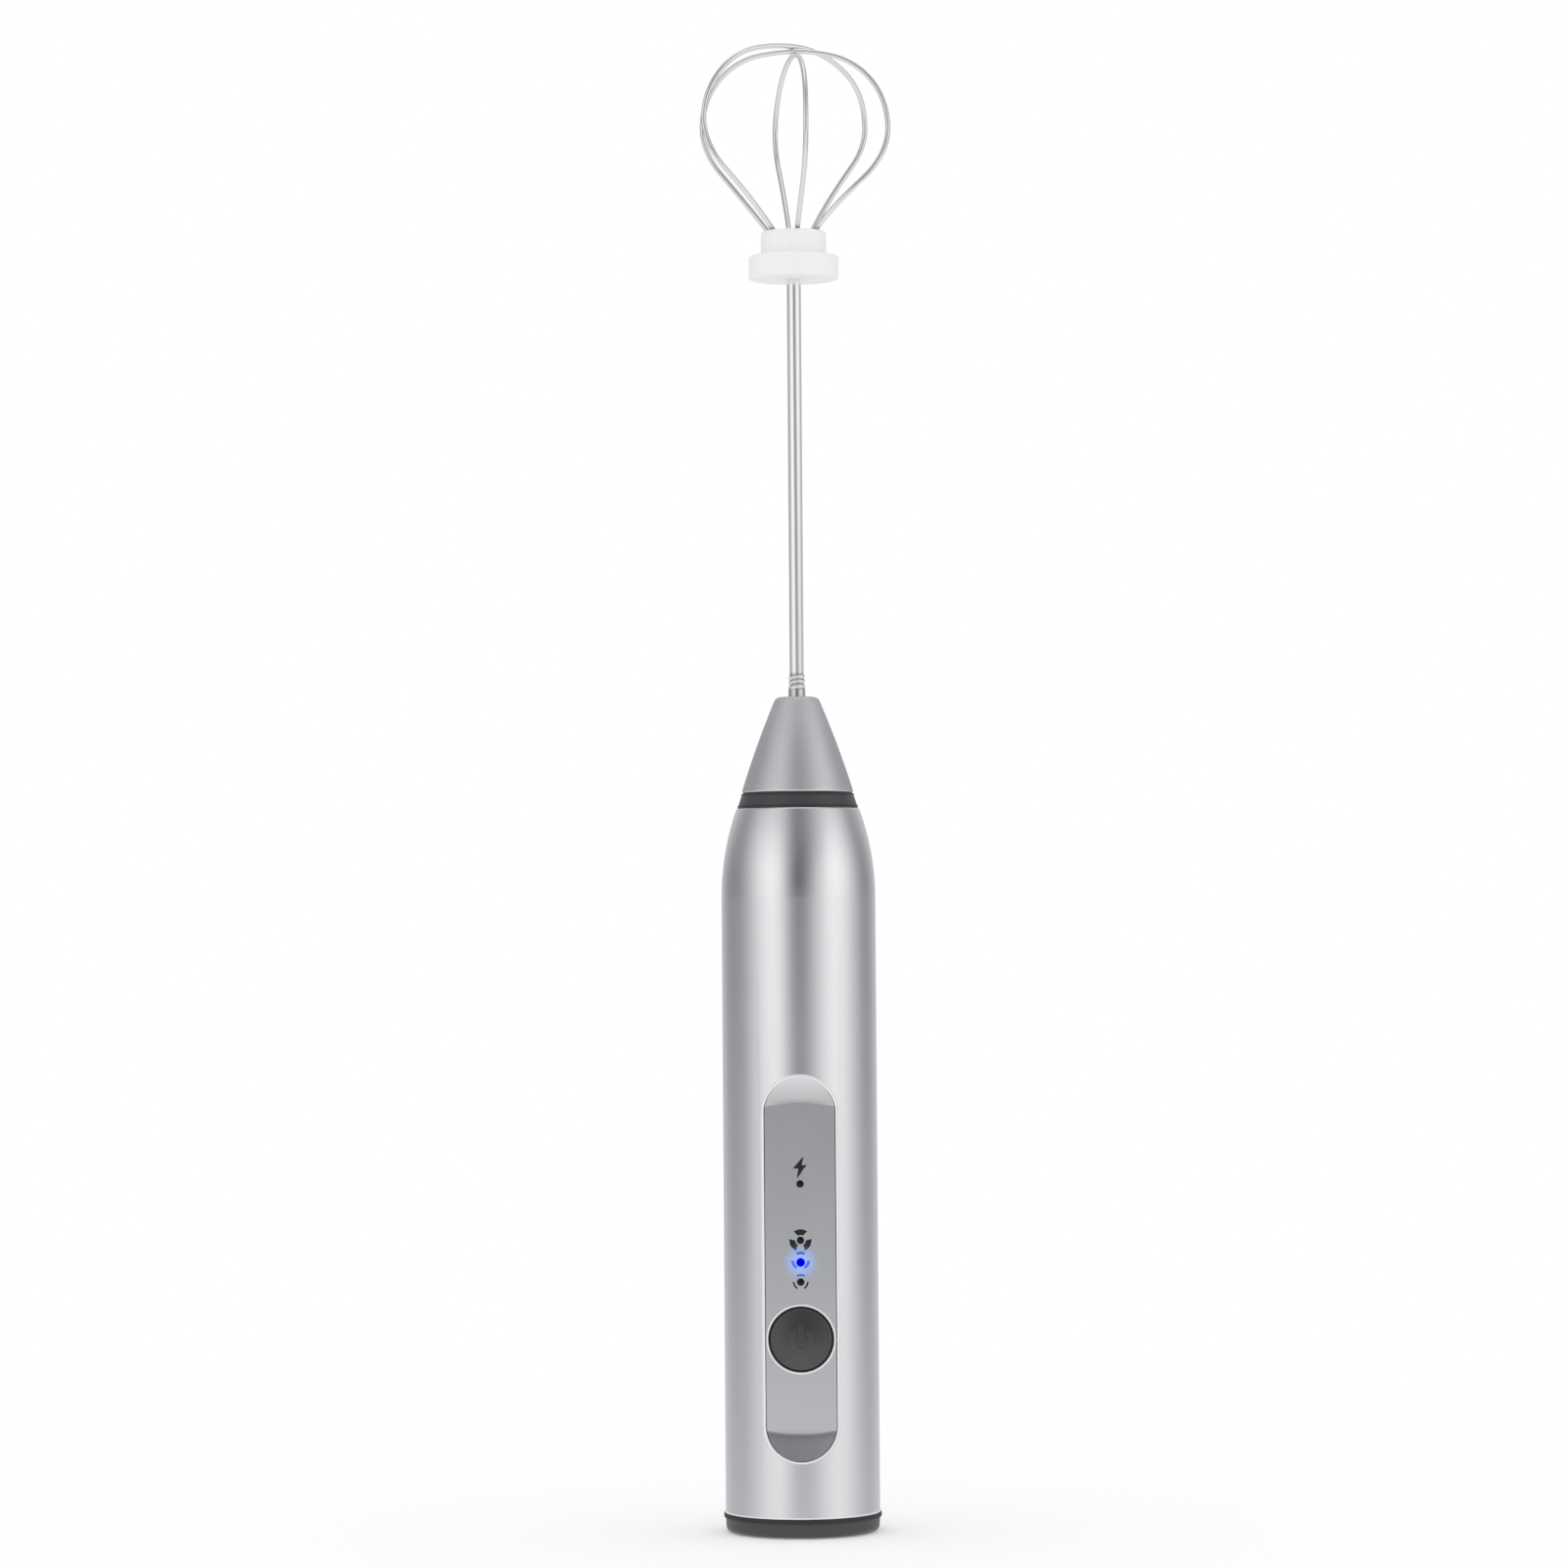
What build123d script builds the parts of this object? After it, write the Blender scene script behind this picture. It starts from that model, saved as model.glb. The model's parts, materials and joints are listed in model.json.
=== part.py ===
from build123d import *
import math
import os

os.makedirs("parts", exist_ok=True)

# A rechargeable hand frother, standing on its base with the whisk up. The handle's axis is Z, the base
# lies on the XY plane and the control panel faces -Y. Every size is in millimetres.

# Casing
HANDLE_DIA = 27.0
SHELL_WALL = 1.3
OPENING_EDGE = 0.35
CAP_HEIGHT = 3.2
CAP_LIP = 0.45
CAP_LIP_BAND = 0.5
CAP_FLOOR = 2.2
CAP_FOOT = 0.9
CAP_EDGE = 0.7
SPIGOT_LENGTH = 4.0
SPIGOT_WALL = 1.4
SHOULDER_HEIGHT = 15.6
NECK_DIA = 21.5
NECK_WALL = 2.1
NECK_DEPTH = 4.0
SEAM_EDGE = 0.45
FOOT_EDGE = 0.3
RING_HEIGHT = 2.6
RING_INSET = 0.15
NOSE_BASE_DIA = 19.8
NOSE_HEIGHT = 16.95
NOSE_TIP_DIA = 7.4
NOSE_BULGE = 0.25
NOSE_EDGE = 1.2
NOSE_WALL = 1.5

# Clearances: fixed fits, running fits, pressed or moulded-in pieces, and the loose fit of inner pieces
FIT = 0.05
RUN = 0.04
PRESS = 0.01
LOOSE = 0.2

# Drive through the nose
SOCKET_DIA = 5.0
SOCKET_RECESS = 0.5
SOCKET_WEB = 0.5
SHAFT_GRIP = 8.0
TIP_DEPTH = 5.2
SEAL_WIRE_DIA = 1.3
BUSH_LENGTH = 4.4
BUSH_WALL = 1.9

# Motor
MOTOR_DIA = 20.4
MOTOR_FLATS = 15.4
MOTOR_LENGTH = 32.0
CAN_WALL = 0.8
END_CAP_LENGTH = 5.0
END_CAP_FLOOR = 1.8
END_CAP_RIB = 0.6
BOSS_DIA = 6.0
BOSS_HEIGHT = 1.6
SHAFT_DIA = 2.0
BEARING_WALL = 1.2
MAGNET_HEIGHT = 12.0
MAGNET_LENGTH = 18.0
AIR_GAP = 0.4
CORE_LENGTH = 14.0
CORE_HUB_DIA = 4.8
CORE_ARM = 2.6
CORE_SHOE = 1.0
CORE_SLOT = 2.4
CORE_POLES = 3
COIL_BUILD = 1.2
COMMUTATOR_DIA = 5.2
COMMUTATOR_LENGTH = 4.0
COMMUTATOR_SLOT = 0.4
BRUSH_SIZE = 1.6
TERMINAL_WIDTH = 2.0
TERMINAL_THICKNESS = 0.5
TERMINAL_SEAT = 2.5
TERMINAL_DROP = 3.0
TERMINAL_SPACING = 14.6
MOUNT_THICKNESS = 2.5
MOUNT_SCREW_SPACING = 12.0
MOUNT_SCREW_DIA = 2.0
MOUNT_SCREW_HEAD_DIA = 3.6
MOUNT_SCREW_HEAD = 1.2
LEAD_DIA = 1.2
LEAD_BEND = 2.6
LEAD_DROP = 6.0
LEAD_ROOM = 1.0

# Power button and its switch
BUTTON_DIA = 10.9
BUTTON_GAP = 0.2
BUTTON_DROP = 12.25
BUTTON_RISE = 1.0
BUTTON_DOME = 0.45
BUTTON_WALL = 0.9
BUTTON_LIP = 0.4
BUTTON_LIP_THICKNESS = 0.7
BUTTON_LIP_GAP = 0.1
BUTTON_HOLE_EDGE = 0.25
BUTTON_BOSS_DIA = 3.0
SWITCH_WIDTH = 6.0
SWITCH_HEIGHT = 1.9
SWITCH_FLOOR = 0.4
PLUNGER_DIA = 3.0
PLUNGER_RISE = 0.8
PLUNGER_REACH = 0.7

# Control panel and lights
PANEL_LENGTH = 66.45
PANEL_MARGIN = 0.75
PANEL_LIFT = 10.05
PANEL_DEPTH = 1.9
PANEL_THICKNESS = 1.2
PANEL_RAMP = 3.9
PANEL_KNEE = 3.2
PANEL_GAP = 0.1
PANEL_FOOT = 3.4
LENS_DIA = 1.2
LED_SIZE = 1.6
LED_HEIGHT = 0.7
CHARGE_LIGHT_RISE = 14.6
HIGH_LIGHT_RISE = 4.85
MEDIUM_LIGHT_RISE = 1.05
LOW_LIGHT_RISE = -2.35

# Circuit board and charging socket
BOARD_GAP = 3.0
BOARD_THICKNESS = 1.0
BOARD_WIDTH = 17.0
BOARD_TAIL_WIDTH = 12.0
BOARD_SCREW_DIA = 1.6
BOARD_SCREW_LENGTH = 5.0
BOARD_SCREW_HEAD_DIA = 3.0
BOARD_SCREW_HEAD = 0.9
BOARD_SCREW_INSET = 3.2
BOARD_SCREW_GAP = 3.25
CHIP_SIZE = 4.2
CHIP_HEIGHT = 1.3
USB_WIDTH = 8.94
USB_HEIGHT = 3.26
USB_LENGTH = 7.3
USB_WALL = 0.35
USB_BACK = 0.8
USB_RECESS = 0.4
TONGUE_WIDTH = 6.7
TONGUE_THICKNESS = 0.7
TONGUE_RECESS = 0.8

# Battery and chassis
BATTERY_DIA = 14.2
BATTERY_LENGTH = 50.0
BATTERY_GAP = 0.8
BATTERY_EDGE = 0.5
TAB_WIDTH = 5.0
TAB_THICKNESS = 0.2
TAB_LEG = 3.0
TAB_OVERLAP = 3.0
CHASSIS_GAP = 0.15

# Whisk
STEM_DIA = 2.5
STEM_SHOWN = 73.6
STEM_IN_HUB = 5.0
PLUG_DIA = 3.0
PLUG_DEPTH = 11.0
PLUG_SHOWN = 4.0
PLUG_FLAT_LENGTH = 4.0
PLUG_FLAT_DEPTH = 0.4
RIB_LENGTH = 2.8
RIB_PITCH = 0.5
RIB_DEPTH = 0.16
HUB_FLANGE_DIA = 15.8
HUB_FLANGE_HEIGHT = 4.1
HUB_COLLAR_DIA = 11.5
HUB_COLLAR_HEIGHT = 4.3
HUB_EDGE = 0.5
WIRE_DIA = 0.9
WIRE_IN_HUB = 2.4
WIRE_EXIT_INSET = 1.2
LOOP_COUNT = 3
LOOP_TURN = 40.0
LOOP_DIA = 35.0
LOOP_BELLY = 18.7
LOOP_SIDE_R = 13.2
LOOP_CROWN_R = 28.0
LOOP_GAP = 0.08

# Radii, depths and heights that follow from the sizes above
HANDLE_R = HANDLE_DIA / 2
BORE_R = HANDLE_R - SHELL_WALL
NECK_R = NECK_DIA / 2
NECK_BORE_R = NECK_R - NECK_WALL
Z_CAP_TOP = CAP_HEIGHT
Z_SPIGOT_TOP = Z_CAP_TOP + SPIGOT_LENGTH
Z_PANEL_BOTTOM = Z_CAP_TOP + PANEL_LIFT
Z_PANEL_TOP = Z_PANEL_BOTTOM + PANEL_LENGTH
Z_LOW_SCREW = Z_SPIGOT_TOP + BOARD_SCREW_INSET
Z_HIGH_SCREW = Z_PANEL_TOP + BOARD_SCREW_GAP + BOARD_SCREW_HEAD_DIA / 2
Z_BOARD_BOTTOM = CAP_FLOOR + LOOSE
Z_BOARD_TOP = Z_HIGH_SCREW + BOARD_SCREW_INSET
Z_MOTOR_REAR = Z_BOARD_TOP + LOOSE
Z_MOTOR_FRONT = Z_MOTOR_REAR + MOTOR_LENGTH
Z_SEAT = Z_MOTOR_FRONT + MOUNT_THICKNESS
Z_BODY_TOP = Z_SEAT + NECK_DEPTH
Z_SHOULDER = Z_BODY_TOP - SHOULDER_HEIGHT
Z_RING_TOP = Z_BODY_TOP + RING_HEIGHT
Z_NOSE_TIP = Z_RING_TOP + NOSE_HEIGHT

SOCKET_R = SOCKET_DIA / 2
SHAFT_R = SHAFT_DIA / 2
PLUG_R = PLUG_DIA / 2
BUSH_R = SOCKET_R + RUN + BUSH_WALL
SEAL_MID_R = SOCKET_R + RUN + SEAL_WIRE_DIA / 2
SEAL_SEAT_R = SEAL_MID_R + SEAL_WIRE_DIA / 2 + FIT
Z_SEAL_TOP = Z_NOSE_TIP - TIP_DEPTH
Z_BUSH_TOP = Z_SEAL_TOP - SEAL_WIRE_DIA - 2 * FIT
Z_BUSH_BOTTOM = Z_BUSH_TOP - BUSH_LENGTH
Z_PLUG_BOTTOM = Z_NOSE_TIP - PLUG_DEPTH
Z_PLUG_TOP = Z_NOSE_TIP + PLUG_SHOWN
Z_SOCKET_TOP = Z_NOSE_TIP - SOCKET_RECESS
Z_SOCKET_FLOOR = Z_PLUG_BOTTOM - LOOSE
Z_SHAFT_TOP = Z_SOCKET_FLOOR - SOCKET_WEB
Z_SOCKET_BOTTOM = Z_SHAFT_TOP - SHAFT_GRIP

MOTOR_R = MOTOR_DIA / 2
BEARING_R = SHAFT_R + RUN + BEARING_WALL
Z_CAN_BOTTOM = Z_MOTOR_REAR + END_CAP_LENGTH
CAN_LENGTH = MOTOR_LENGTH - END_CAP_LENGTH
MAGNET_OUTER_R = MOTOR_R - CAN_WALL - FIT
MAGNET_INNER_R = MOTOR_FLATS / 2 - CAN_WALL
CORE_R = MAGNET_INNER_R - AIR_GAP
CORE_ARM_R = CORE_R - CORE_SHOE
Z_CORE = Z_CAN_BOTTOM + CAN_LENGTH / 2
TERMINAL_X = TERMINAL_SPACING / 2
END_CAP_BORE_R = TERMINAL_X - TERMINAL_THICKNESS / 2 - END_CAP_RIB
Z_TERMINAL_END = Z_MOTOR_REAR - TERMINAL_DROP
Z_LEAD_END = Z_TERMINAL_END - LEAD_DROP

PANEL_Z = (Z_PANEL_BOTTOM + Z_PANEL_TOP) / 2
BUTTON_R = BUTTON_DIA / 2
BUTTON_Z = PANEL_Z - BUTTON_DROP
PANEL_WIDTH = BUTTON_DIA + 2 * PANEL_MARGIN
PANEL_FACE_Y = PANEL_DEPTH - HANDLE_R
PANEL_BACK_Y = PANEL_FACE_Y + PANEL_THICKNESS
BOARD_FRONT_Y = PANEL_BACK_Y + BOARD_GAP
BOARD_BACK_Y = BOARD_FRONT_Y + BOARD_THICKNESS
BOARD_SCREW_X = BOARD_WIDTH / 2 - BOARD_SCREW_HEAD_DIA / 2
BOARD_SCREW_PLACES = ((-BOARD_SCREW_X, Z_LOW_SCREW), (BOARD_SCREW_X, Z_LOW_SCREW), (0, Z_HIGH_SCREW))
USB_Y = BOARD_BACK_Y + USB_HEIGHT / 2
SWITCH_TOP_Y = BOARD_FRONT_Y - SWITCH_HEIGHT
PLUNGER_TOP_Y = SWITCH_TOP_Y - PLUNGER_RISE
LED_TOP_Y = BOARD_FRONT_Y - LED_HEIGHT
LIGHTS = {
    "charge_lens": PANEL_Z + CHARGE_LIGHT_RISE,
    "speed_lens_high": PANEL_Z + HIGH_LIGHT_RISE,
    "speed_lens_medium": PANEL_Z + MEDIUM_LIGHT_RISE,
    "speed_lens_low": PANEL_Z + LOW_LIGHT_RISE,
}

CHASSIS_R = BORE_R - CHASSIS_GAP
BATTERY_R = BATTERY_DIA / 2
BATTERY_Y = BOARD_BACK_Y + BATTERY_GAP + BATTERY_R
BATTERY_Z = (Z_LOW_SCREW + Z_LEAD_END) / 2
Z_BATTERY_BOTTOM = BATTERY_Z - BATTERY_LENGTH / 2
Z_BATTERY_TOP = BATTERY_Z + BATTERY_LENGTH / 2

STEM_R = STEM_DIA / 2
WIRE_R = WIRE_DIA / 2
Z_HUB_BOTTOM = Z_NOSE_TIP + STEM_SHOWN
Z_STEM_TOP = Z_HUB_BOTTOM + STEM_IN_HUB
Z_HUB_STEP = Z_HUB_BOTTOM + HUB_FLANGE_HEIGHT
Z_HUB_TOP = Z_HUB_STEP + HUB_COLLAR_HEIGHT
WIRE_EXIT_R = HUB_COLLAR_DIA / 2 - WIRE_EXIT_INSET

# The shoulder is an arc that leaves the tube's wall without a corner
SHOULDER_DROP = HANDLE_R - NECK_R
SHOULDER_ARC_R = (SHOULDER_HEIGHT**2 + SHOULDER_DROP**2) / (2 * SHOULDER_DROP)


def shoulder_radius(z, inset):
    """Radius at height z of the surface that lies inset below the shoulder's outer face."""
    return HANDLE_R - SHOULDER_ARC_R + math.sqrt((SHOULDER_ARC_R - inset) ** 2 - (z - Z_SHOULDER) ** 2)


def front_plane(y):
    """Plane that faces the front, -Y, at depth y, with X across and Z up."""
    return Plane.XZ.offset(-y)


def write_piece(piece, name):
    """Labels a finished sub-part and writes it as a file of its own."""
    piece.part.label = name
    export_step(piece.part, f"parts/{name}.step")


# Body shell: a tube with a rounded shoulder, a neck for the nose and a long opening for the panel
SEAT_R = shoulder_radius(Z_SEAT, SHELL_WALL)


def borders_opening(edge):
    """True for the edges where the panel's opening meets the tube's outer wall."""
    middle = edge @ 0.5
    on_wall = abs(math.hypot(middle.X, middle.Y) - HANDLE_R) < FIT
    return on_wall and middle.Y < PANEL_FACE_Y / 2 and Z_CAP_TOP + FIT < middle.Z < Z_SHOULDER - FIT


with BuildPart() as body_shell:
    with BuildSketch(Plane.XZ):
        with BuildLine():
            Polyline((BORE_R, Z_CAP_TOP), (HANDLE_R, Z_CAP_TOP), (HANDLE_R, Z_SHOULDER))
            TangentArc((HANDLE_R, Z_SHOULDER), (NECK_R, Z_BODY_TOP), tangent=(0, 1))
            Polyline(
                (NECK_R, Z_BODY_TOP),
                (NECK_BORE_R, Z_BODY_TOP),
                (NECK_BORE_R, Z_SEAT),
                (SEAT_R, Z_SEAT),
            )
            TangentArc((BORE_R, Z_SHOULDER), (SEAT_R, Z_SEAT), tangent=(0, 1))
            Line((BORE_R, Z_SHOULDER), (BORE_R, Z_CAP_TOP))
        make_face()
    revolve(axis=Axis.Z)
    fillet(body_shell.faces().sort_by(Axis.Z)[-1].outer_wire().edges(), SEAM_EDGE)
    fillet(body_shell.faces().sort_by(Axis.Z)[0].outer_wire().edges(), FOOT_EDGE)
    with BuildSketch(Plane.XZ):
        with Locations((0, PANEL_Z)):
            SlotOverall(PANEL_LENGTH, PANEL_WIDTH, rotation=90)
    extrude(amount=HANDLE_DIA, mode=Mode.SUBTRACT)
    fillet(body_shell.edges().filter_by(borders_opening), OPENING_EDGE)
write_piece(body_shell, "body_shell")

# Base cap: a disc with a lip and a spigot that plugs into the tube, slotted for the charging socket
CAP_LIP_R = HANDLE_R + CAP_LIP
SPIGOT_R = BORE_R - FIT

with BuildPart() as base_cap:
    with BuildSketch(Plane.XZ):
        with BuildLine():
            Polyline(
                (0, 0),
                (HANDLE_R, 0),
                (HANDLE_R, CAP_FOOT),
                (CAP_LIP_R, CAP_HEIGHT - CAP_LIP_BAND),
                (CAP_LIP_R, CAP_HEIGHT),
                (SPIGOT_R, CAP_HEIGHT),
                (SPIGOT_R, Z_SPIGOT_TOP),
                (SPIGOT_R - SPIGOT_WALL, Z_SPIGOT_TOP),
                (SPIGOT_R - SPIGOT_WALL, CAP_FLOOR),
                (0, CAP_FLOOR),
                close=True,
            )
        make_face()
    revolve(axis=Axis.Z)
    fillet(base_cap.faces().sort_by(Axis.Z)[0].outer_wire().edges(), CAP_EDGE)
    with BuildSketch():
        with Locations((0, USB_Y)):
            SlotOverall(USB_WIDTH + 2 * LOOSE, USB_HEIGHT + 2 * LOOSE)
    extrude(amount=CAP_FLOOR, mode=Mode.SUBTRACT)
write_piece(base_cap, "base_cap")

# Trim ring: the dark band between the tube and the nose
with BuildPart() as trim_ring:
    with BuildSketch(Plane.XZ):
        with BuildLine():
            Polyline(
                (NECK_BORE_R, Z_BODY_TOP),
                (NECK_R - RING_INSET, Z_BODY_TOP),
                (NOSE_BASE_DIA / 2 - RING_INSET, Z_RING_TOP),
                (NECK_BORE_R, Z_RING_TOP),
                close=True,
            )
        make_face()
    revolve(axis=Axis.Z)
write_piece(trim_ring, "trim_ring")

# Nose cone: a slightly rounded cone whose spigot goes through the ring into the neck
NOSE_SPIGOT_R = NECK_BORE_R - FIT
NOSE_CAVITY_R = NOSE_SPIGOT_R - NOSE_WALL
TIP_BORE_R = SOCKET_R + LOOSE
NOSE_FOOT = (NOSE_BASE_DIA / 2, Z_RING_TOP)
NOSE_TIP = (NOSE_TIP_DIA / 2, Z_NOSE_TIP)
NOSE_MIDDLE = ((NOSE_FOOT[0] + NOSE_TIP[0]) / 2 + NOSE_BULGE, (NOSE_FOOT[1] + NOSE_TIP[1]) / 2)

with BuildPart() as nose_cone:
    with BuildSketch(Plane.XZ):
        with BuildLine():
            ThreePointArc(NOSE_FOOT, NOSE_MIDDLE, NOSE_TIP)
            Polyline(
                NOSE_TIP,
                (TIP_BORE_R, Z_NOSE_TIP),
                (TIP_BORE_R, Z_SEAL_TOP),
                (SEAL_SEAT_R, Z_SEAL_TOP),
                (SEAL_SEAT_R, Z_BUSH_TOP),
                (BUSH_R + PRESS, Z_BUSH_TOP),
                (BUSH_R + PRESS, Z_BUSH_BOTTOM),
                (NOSE_CAVITY_R, Z_BUSH_BOTTOM),
                (NOSE_CAVITY_R, Z_SEAT + LOOSE),
                (NOSE_SPIGOT_R, Z_SEAT + LOOSE),
                (NOSE_SPIGOT_R, Z_RING_TOP),
                NOSE_FOOT,
            )
        make_face()
    revolve(axis=Axis.Z)
    fillet(nose_cone.faces().sort_by(Axis.Z)[-1].outer_wire().edges(), NOSE_EDGE)
    nose_rims = nose_cone.edges().filter_by_position(Axis.Z, Z_RING_TOP - FIT, Z_RING_TOP + FIT)
    fillet(nose_rims.sort_by(SortBy.RADIUS)[-1], SEAM_EDGE)
write_piece(nose_cone, "nose_cone")

# Nose bush and shaft seal: the bearing and the rubber ring that the drive socket turns in
with BuildPart() as nose_bush:
    with BuildSketch(Plane.XY.offset(Z_BUSH_BOTTOM)):
        Circle(BUSH_R)
        Circle(SOCKET_R + RUN, mode=Mode.SUBTRACT)
    extrude(amount=BUSH_LENGTH)
write_piece(nose_bush, "nose_bush")

with BuildPart() as shaft_seal:
    with BuildSketch(Plane.XZ):
        with Locations((SEAL_MID_R, Z_BUSH_TOP + FIT + SEAL_WIRE_DIA / 2)):
            Circle(SEAL_WIRE_DIA / 2)
    revolve(axis=Axis.Z)
write_piece(shaft_seal, "shaft_seal")

# Control panel: a long plate with the face of a shallow dish, flat in the middle and rising like a cone
# towards both ends, where it meets the tube's outer wall
PANEL_INNER_LENGTH = PANEL_LENGTH - 2 * PANEL_GAP
PANEL_INNER_WIDTH = PANEL_WIDTH - 2 * PANEL_GAP
PANEL_AXIS = Axis((0, 0, PANEL_Z), (0, 1, 0))
BUTTON_HOLE_R = BUTTON_R + BUTTON_GAP

with BuildPart() as control_panel:
    with BuildSketch(front_plane(PANEL_BACK_Y)):
        with Locations((0, PANEL_Z)):
            SlotOverall(PANEL_INNER_LENGTH, PANEL_INNER_WIDTH, rotation=90)
    extrude(amount=PANEL_THICKNESS + PANEL_DEPTH)
    with BuildSketch(Plane.YZ):
        with BuildLine():
            FilletPolyline(
                (PANEL_FACE_Y, PANEL_Z),
                (PANEL_FACE_Y, Z_PANEL_TOP - PANEL_RAMP),
                (-HANDLE_R, Z_PANEL_TOP),
                radius=PANEL_KNEE,
            )
            Polyline(
                (-HANDLE_R, Z_PANEL_TOP),
                (0, Z_PANEL_TOP),
                (0, PANEL_Z),
                (PANEL_FACE_Y, PANEL_Z),
            )
        make_face()
    revolve(axis=PANEL_AXIS, mode=Mode.INTERSECT)
    with BuildSketch():
        Circle(HANDLE_R - FIT)
    extrude(amount=Z_BODY_TOP, mode=Mode.INTERSECT)
    with BuildSketch(front_plane(PANEL_BACK_Y)):
        with Locations((0, PANEL_Z)):
            SlotOverall(PANEL_INNER_LENGTH, PANEL_INNER_WIDTH, rotation=90)
            Rectangle(PANEL_WIDTH, PANEL_LENGTH - 2 * PANEL_FOOT, mode=Mode.SUBTRACT)
    extrude(amount=-BOARD_GAP)
    with BuildSketch(front_plane(PANEL_BACK_Y)):
        with Locations((0, BUTTON_Z)):
            Circle(BUTTON_HOLE_R)
        with Locations(*[(0, z) for z in LIGHTS.values()]):
            Circle(LENS_DIA / 2 + FIT)
    extrude(amount=PANEL_THICKNESS, mode=Mode.SUBTRACT)
    button_rims = control_panel.edges().filter_by(GeomType.CIRCLE).filter_by(
        lambda edge: abs(edge.radius - BUTTON_HOLE_R) < FIT
    )
    chamfer(button_rims.sort_by(Axis.Y)[0], BUTTON_HOLE_EDGE)
write_piece(control_panel, "control_panel")

# Lenses: clear pins that carry light from the board's lamps to the panel's face
for name, height in LIGHTS.items():
    with BuildPart() as lens:
        with BuildSketch(front_plane(LED_TOP_Y)):
            with Locations((0, height)):
                Circle(LENS_DIA / 2)
        extrude(amount=LED_TOP_Y - PANEL_FACE_Y)
    write_piece(lens, name)

# Power button: a hollow cap with a domed face, a lip behind the panel and a boss over the switch
BUTTON_AXIS = Axis((0, 0, BUTTON_Z), (0, 1, 0))
BUTTON_CROWN_Y = PANEL_FACE_Y - BUTTON_RISE
BUTTON_RIM_Y = BUTTON_CROWN_Y + BUTTON_DOME
BUTTON_ROOF_Y = BUTTON_RIM_Y + BUTTON_WALL
LIP_FRONT_Y = PANEL_BACK_Y + BUTTON_LIP_GAP
LIP_BACK_Y = LIP_FRONT_Y + BUTTON_LIP_THICKNESS
BUTTON_INNER_R = BUTTON_R - BUTTON_WALL

with BuildPart() as power_button:
    with BuildSketch(Plane.YZ):
        with BuildLine():
            TangentArc((BUTTON_CROWN_Y, BUTTON_Z), (BUTTON_RIM_Y, BUTTON_Z + BUTTON_R), tangent=(0, 1))
            Polyline(
                (BUTTON_RIM_Y, BUTTON_Z + BUTTON_R),
                (LIP_FRONT_Y, BUTTON_Z + BUTTON_R),
                (LIP_FRONT_Y, BUTTON_Z + BUTTON_R + BUTTON_LIP),
                (LIP_BACK_Y, BUTTON_Z + BUTTON_R + BUTTON_LIP),
                (LIP_BACK_Y, BUTTON_Z + BUTTON_INNER_R),
                (BUTTON_ROOF_Y, BUTTON_Z + BUTTON_INNER_R),
                (BUTTON_ROOF_Y, BUTTON_Z + BUTTON_BOSS_DIA / 2),
                (PLUNGER_TOP_Y, BUTTON_Z + BUTTON_BOSS_DIA / 2),
                (PLUNGER_TOP_Y, BUTTON_Z),
                (BUTTON_CROWN_Y, BUTTON_Z),
            )
        make_face()
    revolve(axis=BUTTON_AXIS)
    face_rim = power_button.edges().filter_by(GeomType.CIRCLE).filter_by(
        lambda edge: abs(edge.radius - BUTTON_R) < FIT
    )
    fillet(face_rim.sort_by(Axis.Y)[0], BUTTON_DOME)
write_piece(power_button, "power_button")

# Switch under the button: a body on the board and a plunger that the button's boss pushes in
with BuildPart() as switch_body:
    with BuildSketch(front_plane(BOARD_FRONT_Y)):
        with Locations((0, BUTTON_Z)):
            Rectangle(SWITCH_WIDTH, SWITCH_WIDTH)
    extrude(amount=SWITCH_HEIGHT)
    with BuildSketch(front_plane(BOARD_FRONT_Y - SWITCH_FLOOR)):
        with Locations((0, BUTTON_Z)):
            Circle(PLUNGER_DIA / 2 + FIT)
    extrude(amount=SWITCH_HEIGHT, mode=Mode.SUBTRACT)
write_piece(switch_body, "switch_body")

with BuildPart() as switch_plunger:
    with BuildSketch(front_plane(PLUNGER_TOP_Y)):
        with Locations((0, BUTTON_Z)):
            Circle(PLUNGER_DIA / 2)
    extrude(amount=-(PLUNGER_RISE + PLUNGER_REACH))
write_piece(switch_plunger, "switch_plunger")

# Circuit board: a plate behind the panel whose narrow tail carries the charging socket
with BuildPart() as circuit_board:
    with BuildSketch(front_plane(BOARD_BACK_Y)):
        with Locations((0, Z_BOARD_BOTTOM)):
            Rectangle(BOARD_TAIL_WIDTH, Z_BOARD_TOP - Z_BOARD_BOTTOM, align=(Align.CENTER, Align.MIN))
        with Locations((0, Z_SPIGOT_TOP + LOOSE)):
            Rectangle(BOARD_WIDTH, Z_BOARD_TOP - Z_SPIGOT_TOP - LOOSE, align=(Align.CENTER, Align.MIN))
        with Locations(*BOARD_SCREW_PLACES):
            Circle(BOARD_SCREW_DIA / 2 + FIT, mode=Mode.SUBTRACT)
    extrude(amount=BOARD_THICKNESS)
write_piece(circuit_board, "circuit_board")

with BuildPart() as board_screws:
    with BuildSketch(front_plane(BOARD_FRONT_Y)):
        with Locations(*BOARD_SCREW_PLACES):
            Circle(BOARD_SCREW_HEAD_DIA / 2)
    extrude(amount=BOARD_SCREW_HEAD)
    with BuildSketch(front_plane(BOARD_FRONT_Y)):
        with Locations(*BOARD_SCREW_PLACES):
            Circle(BOARD_SCREW_DIA / 2)
    extrude(amount=-BOARD_SCREW_LENGTH)
write_piece(board_screws, "board_screws")

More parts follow.
